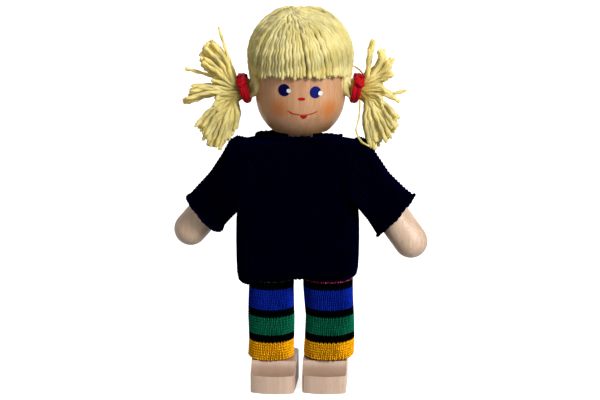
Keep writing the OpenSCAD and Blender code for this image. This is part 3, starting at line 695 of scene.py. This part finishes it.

# Head: one turned piece of birch, darker and redder than the limbs under its varnish, with painted shade
# under the chin and two cheeks rubbed in orange.
head_birch, tree, colour = birch("head_birch", (0.6, 0.32, 0.165, 1), (0.36, 0.165, 0.068, 1))
place = object_place(tree)


def nearness(tree, place, point, inner, outer, most):
    """most up to inner from point, falling to 0 at outer, all in mm."""
    far = node(tree, "VectorMath", operation="DISTANCE", in0=place,
               in1=tuple(c * MM for c in point)).outputs["Value"]
    return spread(tree, far, inner * MM, outer * MM, most, 0.0, smooth=True)


# The doll's right cheek has darker rouge: real rouge, darkened with painted shade for that side of the
# face.
for cheek, reach, rouge in (((-5.6, -9.3, 72.1), 4.6, (0.38, 0.105, 0.002, 1)),
                            ((7.0, -8.2, 72.0), 4.0, (0.5, 0.15, 0.016, 1))):
    colour = mix(tree, nearness(tree, place, cheek, 0.5, reach, 1.0), colour, rouge)
# Painted shade: the wood darkens towards the bottom of the ball, under the chin.
chin_shade = spread(tree, axis(tree, place, "Z"), 66.2 * MM, 71.5 * MM, 0.62, 0.0, smooth=True)
recolour(tree, mix(tree, chin_shade, colour, (0.19, 0.09, 0.02, 1)))
finish_node(head_birch, "head")

# Painted face: eyes, lights, nose and mouth are drops of enamel on the wood, each
# a thin film pressed on the ball of the head.
FACE_Y = -13 * MM
FILM = 0.05 * MM


def enamel(name, colour):
    material, tree = new_material(name)
    strokes = noise(tree, object_place(tree), 1500, 3)
    tone = mix(tree, strokes, toned(colour, 0.6), toned(colour, 1.3))
    shader = node(tree, "BsdfPrincipled", Base_Color=tone, Roughness=0.4,
                  Specular_IOR_Level=0.03, Normal=bump(tree, strokes, 0.15, 0.02))
    finish_material(tree, shader.outputs[0])
    return material


def press_on_head(film, lift):
    """Projects a flat film at the front of the head onto the ball, and thickens it."""
    select_only(film)
    bpy.ops.object.transform_apply(location=True, rotation=True, scale=True)
    press = film.modifiers.new("press", "SHRINKWRAP")
    press.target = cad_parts["head"]
    press.wrap_method = "PROJECT"
    press.use_project_y = True
    press.use_negative_direction = True
    press.use_positive_direction = True
    press.offset = lift * MM
    bpy.ops.object.modifier_apply(modifier="press")
    give_wall(film, FILM, offset=1)
    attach(film, "head")


def dot(name, x, z, half_w, half_h, lift, paint):
    bpy.ops.object.select_all(action="DESELECT")
    bpy.ops.mesh.primitive_circle_add(
        vertices=40, radius=1, fill_type="NGON", location=(x * MM, FACE_Y, z * MM),
        rotation=(math.pi / 2, 0, 0))
    film = bpy.context.object
    film.name = film.data.name = name
    film.scale = (half_w * MM, half_h * MM, 1)
    edit()
    for ring in range(5):
        bpy.ops.mesh.inset(thickness=0.17, depth=0)
    end_edit()
    film.data.materials.append(paint)
    press_on_head(film, lift)


blue_enamel = enamel("eye_enamel", (0.008, 0.012, 0.14))
# The doll's right eye, on the side in shade, has a darker copy of the eye enamel: painted shade.
shaded_eye_enamel = enamel("shaded_eye_enamel", (0.002, 0.002, 0.05))
white_enamel = enamel("light_enamel", (0.86, 0.85, 0.8))
red_enamel = enamel("mouth_enamel", (0.45, 0.012, 0.012))
dot("eye_right", -3.95, 77.1, 1.42, 1.5, 0.03, shaded_eye_enamel)
dot("eye_left", 3.6, 76.6, 1.36, 1.46, 0.03, blue_enamel)
dot("eye_light_right", -2.82, 77.0, 0.52, 0.5, 0.1, white_enamel)
dot("eye_light_left", 4.82, 76.3, 0.55, 0.56, 0.1, white_enamel)
dot("nose", 0.24, 75.03, 0.92, 0.4, 0.03, red_enamel)

# The middle of the mouth's line and half its width, and the tongue-like mark that
# hangs from it, in mm.
mouth_line = np.array([(-3.1, 72.05), (-2.4, 71.62), (-1.67, 71.33), (-0.6, 71.14), (0.5, 71.08),
                       (1.6, 71.1), (2.5, 71.26), (3.3, 71.5), (4.05, 71.85)])
mouth_half = np.array([0.1, 0.15, 0.14, 0.14, 0.15, 0.14, 0.13, 0.13, 0.09])
MARK_X = 0.75
MARK_HALF_W = 0.98
MARK_DROP = 0.9
marks = np.arange(len(mouth_half))
steps = np.linspace(0, marks[-1], 49)
xs, zs, halves = (np.interp(steps, marks, row) for row in (*mouth_line.T, mouth_half))
hang = MARK_DROP * np.clip(1 - np.abs((xs - MARK_X) / MARK_HALF_W) ** 2, 0, 1)
upper, lower = np.stack([xs, zs + halves, 0 * xs], 1), np.stack([xs, zs - halves - hang, 0 * xs], 1)
mouth_curve = new_curve("mouth", dimensions="2D", fill_mode="BOTH")
add_line(mouth_curve, np.concatenate([upper, lower[::-1]]) * MM, closed=True)
mouth = as_mesh("mouth", mouth_curve)
mouth.location = (0, FACE_Y, 0)
mouth.rotation_euler = (math.pi / 2, 0, 0)
mouth.data.materials.append(red_enamel)
press_on_head(mouth, 0.04)

# Hair: straw-coloured two-ply yarn. The fringe is laid from the crown to a cut edge
# over the forehead; the rest is parted down the back and drawn to the two ties. The
# sizes of the hair and the ties are in mm.
HAIR_R = 11.5
HAIR_Z = 84.1
HAIR_DOME = 11.0
HAIR_QUARTER = 19.0
HAIR_TUCK = 0.9
TUCK_LENGTH = 8
YARN_R = 0.58
GROOVE_SHADE = 0.78
TWIST = 6.0
WAVE = 7.0


def yarn_wool(name, tie=None, core=None, low=(79, 1.07), high=(87, 0.94), glow=0.13):
    """Straw wool; near tie, a point in mm, it has the deeper colour core, painted shade of the bunched
    strands. Its colour is painted darker in the grooves between the plies, as shade, and scaled with
    height as painted light and shade: low and high are (height in mm, shade). glow is the share of light
    that goes through."""
    material, tree = new_material(name)
    place = object_place(tree)
    fuzz = noise(tree, place, 5200, 3, 0.7)
    patches = spread(tree, noise(tree, place, 230, 3, 0.6), 0.35, 0.68)
    colour = mix(tree, patches, (0.78, 0.655, 0.215, 1), (0.93, 0.83, 0.39, 1))
    # Painted shade of the bunched strands near the tie.
    if tie:
        colour = mix(tree, nearness(tree, place, tie, 2.2, 6.8, 0.85), colour, core)
    around = axis(tree, node(tree, "TexCoord").outputs["UV"], "X")
    plies = node(tree, "Math", operation="COSINE", in0=product(tree, around, 4 * math.pi)).outputs[0]
    # Painted shade in the groove between the two plies.
    groove = spread(tree, plies, -1.0, 0.2, GROOVE_SHADE, 1.0, smooth=True)
    light = product(tree, groove, spread(tree, fuzz, 0.3, 0.7, 0.85, 1.14))
    # Painted light and shade that changes with height.
    light = product(tree, light, spread(tree, axis(tree, place, "Z"), low[0] * MM, high[0] * MM,
                                        low[1], high[1]))
    shaded = node(tree, "VectorMath", operation="SCALE", in0=colour, Scale=light).outputs[0]
    shader = node(tree, "BsdfPrincipled", Base_Color=shaded, Roughness=0.8, Specular_IOR_Level=0.2,
                  Sheen_Weight=0.25, Sheen_Roughness=0.5, Normal=bump(tree, fuzz, 0.6, 0.05))
    through = node(tree, "BsdfTranslucent", Color=(0.87, 0.8, 0.46, 1))
    wool = node(tree, "MixShader", in0=glow, in1=shader.outputs[0], in2=through.outputs[0])
    finish_material(tree, wool.outputs[0])
    return material


def on_hair(flat, lift):
    """Where points of the flat map of the hair lie on the head. The map's middle is
    the top of the head, -Y is the front, and distance from the middle is length of
    yarn, of which HAIR_QUARTER reaches down to the widest line."""
    x, y = flat.T
    far = np.hypot(x, y) + 1e-9
    angle = np.minimum(far / HAIR_QUARTER, 1) * np.pi / 2
    low = np.maximum(far - HAIR_QUARTER, 0)
    r = (HAIR_R + lift) * np.sin(angle) - HAIR_TUCK * np.minimum(low / TUCK_LENGTH, 1)
    z = HAIR_Z + (HAIR_DOME + lift) * np.cos(angle) - low
    return np.stack([x / far * r, y / far * r, z], 1)


def on_map(turn, side=1):
    """The way on the flat map, turned from the front to one side."""
    return np.array([side * math.sin(turn), -math.cos(turn)])


def way_along(line):
    """How far along a line each of its points lies."""
    return running_sum(np.linalg.norm(np.diff(line, axis=0), axis=1))


def smooth_path(points, gap):
    """A smooth line through points, in mm, with a point every gap."""
    p = np.array(points, float)
    p = np.concatenate([[2 * p[0] - p[1]], p, [2 * p[-1] - p[-2]]])
    out = []
    for a, b, c, d in zip(p, p[1:], p[2:], p[3:]):
        t = np.linspace(0, 1, 25)[:-1, None]
        out.append(0.5 * (2 * b + (c - a) * t + (2 * a - 5 * b + 4 * c - d) * t ** 2
                          + (3 * b - a - 3 * c + d) * t ** 3))
    line = np.concatenate(out + [p[-2:-1]])
    long = way_along(line)
    at = np.linspace(0, long[-1], max(6, int(long[-1] / gap)))
    return np.stack([np.interp(at, long, line[:, k]) for k in range(3)], 1)


# The section of a strand, two plies side by side, which twists along it.
section_turn = np.linspace(0, 2 * math.pi, 10, endpoint=False)
ply_r = 0.83 + 0.17 * np.cos(2 * section_turn)
section_ring = np.stack([ply_r * np.cos(section_turn), ply_r * np.sin(section_turn), 0 * ply_r], 1)
section_curve = new_curve("ply_section", dimensions="2D")
add_line(section_curve, section_ring * YARN_R * MM, closed=True)
ply_section = bpy.data.objects.new("ply_section", section_curve)
bpy.context.scene.collection.objects.link(ply_section)


def lay_yarn(name, paths, material, thin=()):
    """Strands of two-ply yarn along paths, in mm, as one piece. thin are the shares of
    full thickness that the last paths have."""
    full = [1.0] * (len(paths) - len(thin)) + list(thin)
    curve = new_curve(name, dimensions="3D", bevel_mode="OBJECT", bevel_object=ply_section,
                      use_fill_caps=True)
    for k, path in enumerate(paths):
        long = way_along(path)
        ends = np.minimum(1, 0.55 + np.minimum(long, long[-1] - long) / 0.5)
        add_line(curve, path * MM, tilt=long / TWIST * 2 * np.pi + k, radius=ends * full[k])
    strands = as_mesh(name, curve)
    bpy.ops.object.shade_smooth()
    strands.data.materials.clear()
    strands.data.materials.append(material)
    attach(strands, "head")
    return strands


def unit(ways):
    return ways / (np.linalg.norm(ways, axis=1)[:, None] + 1e-9)


def wavy(path, size=0.03):
    """Bends a path from side to side, as yarn that has been wound."""
    long = way_along(path)
    side = unit(np.cross(unit(np.gradient(path, axis=0)), path - np.array([0, 0, HAIR_Z])))
    phase = path[-1][0] * 0.9 + dice.uniform(0, 1.2)
    pitch = WAVE * dice.uniform(0.9, 1.12)
    ease = np.minimum(1, long / 2)
    return path + side * (size * ease * np.sin(long / pitch * 6.28 + phase))[:, None]


CROWN = np.array([-1.9, -4.9])
FRINGE_TURN = 97
FRINGE_REACH = 22.9
FRINGE_FAN = 0.9
YARN_GAP = 0.3
hair_wool = yarn_wool("hair_wool")
dice = random.Random(7)
fringe_paths = []
for layer, (count, lift) in enumerate(((46, 0.4), (50, 0.95))):
    for k in range(count):
        turn = 2 * FRINGE_TURN * (k + 0.5) / count - FRINGE_TURN + dice.uniform(-1.5, 1.5)
        turn = math.radians(turn)
        edge = FRINGE_REACH + 0.9 * (1 - math.cos(turn)) + dice.uniform(-0.45, 0.45) - 0.3 * (1 - layer)
        tip = on_map(turn) * edge
        begin = (0.6, 5.0, 2.6, 6.6)[k % 4]
        long = np.linalg.norm(tip - CROWN)
        away = (tip - CROWN) / long
        bow = dice.uniform(-0.35, 0.35) - FRINGE_FAN * math.sin(turn)
        bow = bow * np.sin(np.linspace(0, np.pi, 9))
        flat = CROWN + away * np.linspace(begin, long, 9)[:, None]
        flat = flat + np.array([-away[1], away[0]]) * bow[:, None]
        rise = np.full(9, lift + dice.uniform(-0.2, 0.2))
        rise[0] -= 0.9 if begin > 1 else 0.2
        fringe_paths.append(wavy(smooth_path(on_hair(flat, rise), YARN_GAP)))
fringe_yarn = lay_yarn("fringe_yarn", fringe_paths, hair_wool)
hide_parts("fringe")

# Back hair: strands sewn down along the parting and led round to each tie, where their
# ends lie as seeds in a sunflower. Short ones fill the place between the crown and the
# parting. TIE_FAR and TIE_DROP are taken on the flat map.
TIE_X = 14.3
TIE_Z = 76.03
TIE_FAR = 25.2
TIE_DROP = 3.8
BUNCH_X = 13.6
BUNCH_R = 2.3
BUNCH_ENDS = 56
GOLDEN_TURN = 2.4
BACK_GAP = 0.36
PARTING_START = 1.0
PARTING_LENGTH = 32.0
back_paths = []
for side in (-1, 1):
    for layer, (count, lift) in enumerate(((24, 0.45), (27, 1.15))):
        for k in range(count):
            share = (k + 0.5) / count
            parting = np.array([side * 0.25, PARTING_START + PARTING_LENGTH * share])
            tie_turn = math.radians(90 + 36 * (share - 0.35))
            tie_far = TIE_FAR + TIE_DROP * share
            marks = np.linspace(0, 1, 9)[:, None]
            straight = parting * (1 - marks) + on_map(tie_turn, side) * tie_far * marks
            angle = math.pi + (tie_turn - math.pi) * marks
            arc = np.hstack([side * np.sin(angle), -np.cos(angle)]) * (
                parting[1] * (1 - marks) + tie_far * marks)
            low = share ** 2
            flat = straight * (1 - low) + arc * low
            flat = flat + np.array([side * 0.35, 0.1]) * (4 * marks * (1 - marks)) * 4 * (1 - share)
            rise = np.full(9, lift + dice.uniform(-0.1, 0.1))
            rise[0] -= 0.7
            spot = BUNCH_R * math.sqrt((k * 2 + layer + 0.5) / BUNCH_ENDS)
            bend = (k * 2 + layer) * GOLDEN_TURN
            end = (side * BUNCH_X, spot * math.cos(bend), TIE_Z + spot * math.sin(bend))
            back_paths.append(wavy(smooth_path([*on_hair(flat, rise), end], BACK_GAP)))
for side in (-1, 1):
    for k in range(14):
        row, column = k // 7, k % 7
        start = math.radians(66 + 5.2 * column + 2 * row)
        drop = math.radians(68 + 4.6 * column)
        marks = [(start, 15.0, 0.1), (start, 19.5, 0.15), (drop, 23.5, 0.3 + 0.45 * row),
                 (drop + 0.04, 27.2 - 0.25 * column, 0.35 + 0.5 * row)]
        flat = np.array([on_map(turn, side) * far for turn, far, rise in marks])
        low = 1.7 - 0.42 * column
        ends = [(side * 12.6, -1.7 + 0.4 * column + 0.3 * row, TIE_Z - low - 0.2),
                (side * 13.8, -1.4 + 0.35 * column, TIE_Z - low * 0.8)]
        lifts = np.array([rise for turn, far, rise in marks])
        back_paths.append(wavy(smooth_path([*on_hair(flat, lifts), *ends], BACK_GAP), 0.06))
for turn in np.radians(np.arange(95, 180, 6)):
    for side in (-1, 1):
        reach = 9.5 + 6.5 * max(0, 1 - 1.8 * (turn - math.radians(95)))
        flat = CROWN + on_map(turn, side) * np.linspace(dice.uniform(0.6, 2.6), reach, 7)[:, None]
        back_paths.append(smooth_path(on_hair(flat, np.linspace(0.75, 0.25, 7)), YARN_GAP))
back_yarn = lay_yarn("back_yarn", back_paths, hair_wool)
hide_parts("back_hair")

# Hair bed: the close under-layer of the same yarn that is glued to the wood. Its wool is painted darker,
# as shade between the strands. A slanted cut leaves the face free.
BED_FALL = 3.2 * MM
BED_WALL = 0.3 * MM
bpy.ops.object.select_all(action="DESELECT")
bpy.ops.mesh.primitive_uv_sphere_add(segments=96, ring_count=48, radius=1, location=(0, 0, HAIR_Z * MM))
bed = bpy.context.object
bed.name = bed.data.name = "hair_bed"
bed.scale = (HAIR_R * MM, HAIR_R * MM, HAIR_DOME * MM)
bpy.ops.object.transform_apply(location=True, rotation=True, scale=True)
edit()
bpy.ops.mesh.bisect(plane_co=(0, 0, HAIR_Z * MM), plane_no=(0, 0, 1), clear_inner=True)
bpy.ops.mesh.select_all(action="SELECT")
bpy.ops.mesh.region_to_loop()
for fall in range(4):
    bpy.ops.mesh.extrude_region_move(TRANSFORM_OT_translate={"value": (0, 0, -BED_FALL)})
bpy.ops.mesh.select_all(action="SELECT")
bpy.ops.mesh.bisect(plane_co=(0, -11 * MM, 83.0 * MM), plane_no=(0, 0.5, 1), clear_inner=True)
end_edit()
give_wall(bed, BED_WALL)
bpy.ops.object.shade_smooth_by_angle(angle=math.radians(40))
# Painted shade: the bed's wool is about 0.6 times as bright as the hair's.
bed.data.materials.append(yarn_wool("bed_wool", low=(79, 0.64), high=(87, 0.56)))
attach(bed, "head")

# Crown knot: the thread that sews the yarn down where the strands meet, with the
# short ends of yarn standing round it.
CROWN_ENDS = 13
CURL = 0.35


def at_crown(away, turn, rise):
    return on_hair((CROWN + away * on_map(turn))[None], rise)[0]


thread = [at_crown(0.7 + 0.15 * math.sin(3 * a), a, 0.75) for a in np.linspace(0, 7, 12)]
crown_paths = [smooth_path(thread, 0.25)]
for k in range(CROWN_ENDS):
    turn = 2 * math.pi * k / CROWN_ENDS + dice.uniform(-0.12, 0.12)
    far = dice.uniform(0.85, 1.15)
    crown_paths.append(smooth_path([
        at_crown(0.5, turn, 0.2), at_crown(1.1 * far, turn + 0.1 * CURL, 1.0),
        at_crown(2.3 * far, turn + 0.3 * CURL, 1.25), at_crown(3.8 * far, turn + 0.5 * CURL, 1.1),
        at_crown(5.4 * far, turn + 0.6 * CURL, 0.85)], YARN_GAP))
crown_knot_yarn = lay_yarn("crown_knot_yarn", crown_paths, hair_wool)
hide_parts("crown_knot")

# Hair ties: red elastic, wound three times round each bunch and knotted on top. Its
# braid shows as a fine unevenness.
red_elastic, tree = new_material("red_elastic")
braid = noise(tree, object_place(tree), 3600, 3, 0.6)
elastic_tone = mix(tree, braid, (0.25, 0.001, 0.006, 1), (0.6, 0.003, 0.014, 1))
elastic = node(tree, "BsdfPrincipled", Base_Color=elastic_tone, Roughness=0.6,
               Specular_IOR_Level=0.1, Normal=bump(tree, braid, 0.5, 0.05))
finish_material(tree, elastic.outputs[0])
ELASTIC_R = 0.55
TIE_TURNS = 3
TIE_R = 3.15
KNOT_TURNS = 2.1
for side, name in SIDES:
    wound = []
    for a in np.linspace(0, TIE_TURNS * 2 * math.pi, TIE_TURNS * 20 + 1):
        r = TIE_R + 0.12 * math.sin(1.5 * a + side)
        x = TIE_X - 0.6 + 0.75 * (a / (TIE_TURNS * math.pi) - 1) + 0.12 * math.sin(a * 2.3)
        wound.append((side * (x + 0.6 * math.cos(a)), r * math.sin(a), TIE_Z + r * math.cos(a)))
    knot = [(side * (TIE_X + 0.1 + 0.8 * math.cos(a)), -2.2 + 0.75 * math.sin(a) - 0.08 * a,
             TIE_Z + 2.9 - 0.12 * a + 0.35 * math.sin(2 * a))
            for a in np.linspace(0, KNOT_TURNS * 2 * math.pi, 26)]
    curve = new_curve(f"tie_{name}", dimensions="3D", bevel_depth=ELASTIC_R * MM, bevel_resolution=3,
                      use_fill_caps=True)
    for line in (smooth_path(wound, 0.25), smooth_path(knot, 0.2)):
        add_line(curve, line * MM, radius=1 + 0.06 * np.sin(way_along(line) * 9))
    tie = as_mesh(f"tie_{name}", curve)
    bpy.ops.object.shade_smooth()
    tie.data.materials.append(red_elastic)
    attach(tie, "head")
    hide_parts(f"hair_tie_{name}")

# Pigtails: the strands come out of the tie and fan in tufts, some up, most down,
# with a few stray ends. A tuft is the number of its strands, how far its first and
# last strand bow outwards, and the line that their tips follow, as (x, z), in mm.
tufts = {
    "right": [
        (18, (0.7, 0.7), [(-21.2, 81.6), (-21.6, 79.4), (-22, 77.4)]),
        (14, (0.7, 0.7), [(-21.6, 73.4), (-21.4, 71.4), (-21, 69.8)]),
        (46, (-1.0, 0.7), [(-21.6, 88), (-23.6, 86.9), (-24.5, 85.6), (-24.9, 84.3), (-24.6, 83),
                           (-25.1, 81.8)]),
        (24, (0.7, 0.7), [(-26.6, 76.9), (-27.6, 75.2), (-28.4, 73.6), (-29.8, 71.8)]),
        (64, (0.7, -0.6), [(-26.4, 66.6), (-25.3, 65.7), (-24.1, 63.2), (-22.9, 60.8), (-21, 61.7),
                           (-20, 60.6), (-18.9, 62.3), (-17.1, 64.1), (-15.8, 65.4)])],
    "left": [
        (12, (0.7, 0.7), [(20.4, 77.4), (20.6, 75.6)]),
        (12, (0.7, 0.7), [(20.6, 73.4), (20.4, 71)]),
        (8, (0, 0), [(17.3, 87.6), (18.2, 87.9)]),
        (34, (1.5, 0.7), [(19.5, 86.9), (20.9, 84.9), (22.4, 83.5), (22.5, 81.4), (22.7, 79.6),
                          (21.6, 78.2)]),
        (14, (0.7, 0.7), [(21, 75.6), (23.6, 74), (24.4, 73)]),
        (66, (0.7, -0.8), [(24.7, 68.6), (24.1, 66.4), (22.9, 64.2), (20.8, 62.9), (19.4, 61.6),
                           (17.8, 60.4), (16.9, 62)])]}
# A stray end is its share of full thickness and its line.
strays = {
    "right": [(0.75, [(-15.8, 0, 78.5), (-17.6, 0, 83.4), (-19.2, 0.5, 88.0), (-20.1, 0.5, 91.2)]),
              (0.9, [(-16, -0.5, 76.5), (-21, -0.5, 78.8), (-25.5, -0.5, 80.2), (-28.5, -0.5, 81)])],
    "left": [(0.9, [(15.8, 0, 75.4), (20, 0, 74.7), (23.5, 0, 74.8), (26.3, 0, 75.6)]),
             (0.85, [(16, -0.5, 77.5), (20, -0.5, 79.5), (23.2, -0.5, 83.6)]),
             (0.85, [(16, 0.5, 76.5), (20.5, 0.5, 78.5), (23.2, 0.5, 79.3)]),
             (0.5, [(14.6, -2.6, 73.6), (14.4, -3.4, 69.5), (13.7, -4.4, 66.2), (14.9, -5, 63.6),
                    (17, -5.4, 62.4)]),
             (0.45, [(12.2, 0, 81.8), (14, 0, 81), (15.6, -0.3, 79.4)])]}
# Near each tie the tail wool is painted deeper, as the shade of the bunched strands; it is darkest on the
# doll's right, the side in shade.
tail_core_shade = {-1: (0.2, 0.125, 0.002, 1), 1: (0.58, 0.35, 0.008, 1)}
FAN_DEPTH = 3.8
BUNCH_DEPTH = 1.9
BUNCH_TUCK = 1.8
KNEE = 1.6
TAIL_GAP = 0.35
GOLDEN_SHARE = 0.618
for side, name in SIDES:
    paths = []
    middle = np.array([side * TIE_X, 0, TIE_Z])
    outwards = np.array([side, 0, 0])
    for count, bows, line in tufts[name]:
        line = np.array(line)
        along = way_along(line)
        for j in range(count):
            share = (j + 0.5 + dice.uniform(-0.5, 0.5)) / count
            x, z = (np.interp(along[-1] * share, along, line[:, k]) for k in (0, 1))
            deep = ((j * GOLDEN_SHARE) % 1 - 0.5) * 2
            tip = np.array([x, deep * FAN_DEPTH + dice.uniform(-0.6, 0.6), z])
            tip = middle + (tip - middle) * dice.uniform(0.86, 1.02)
            lean = (tip - middle) / np.linalg.norm(tip - middle)
            up = lean[2] * BUNCH_R * math.sqrt(1 - deep * deep * 0.8)
            seat = middle + np.array([0, deep * BUNCH_DEPTH, up])
            knee = seat + outwards * KNEE + lean * KNEE
            bow = bows[0] + (bows[1] - bows[0]) * share
            half = knee * 0.5 + tip * 0.5 + np.array([side * bow, 0, 0.4])
            start = seat - outwards * BUNCH_TUCK
            paths.append(wavy(smooth_path([start, seat, knee, half, tip], TAIL_GAP), 0.12))
    paths += [smooth_path(line, YARN_GAP) for thick, line in strays[name]]
    # Painted light: the tails' wool grows lighter upwards, from 67 to 80 mm.
    tail_wool = yarn_wool(f"tail_wool_{name}", (side * TIE_X, 0, TIE_Z), tail_core_shade[side],
                          low=(67, 1.02), high=(80, 1.22), glow=0.33)
    tail = lay_yarn(f"tail_{name}", paths, tail_wool, [thick for thick, line in strays[name]])
    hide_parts(f"pigtail_{name}")
bpy.data.objects.remove(ply_section)
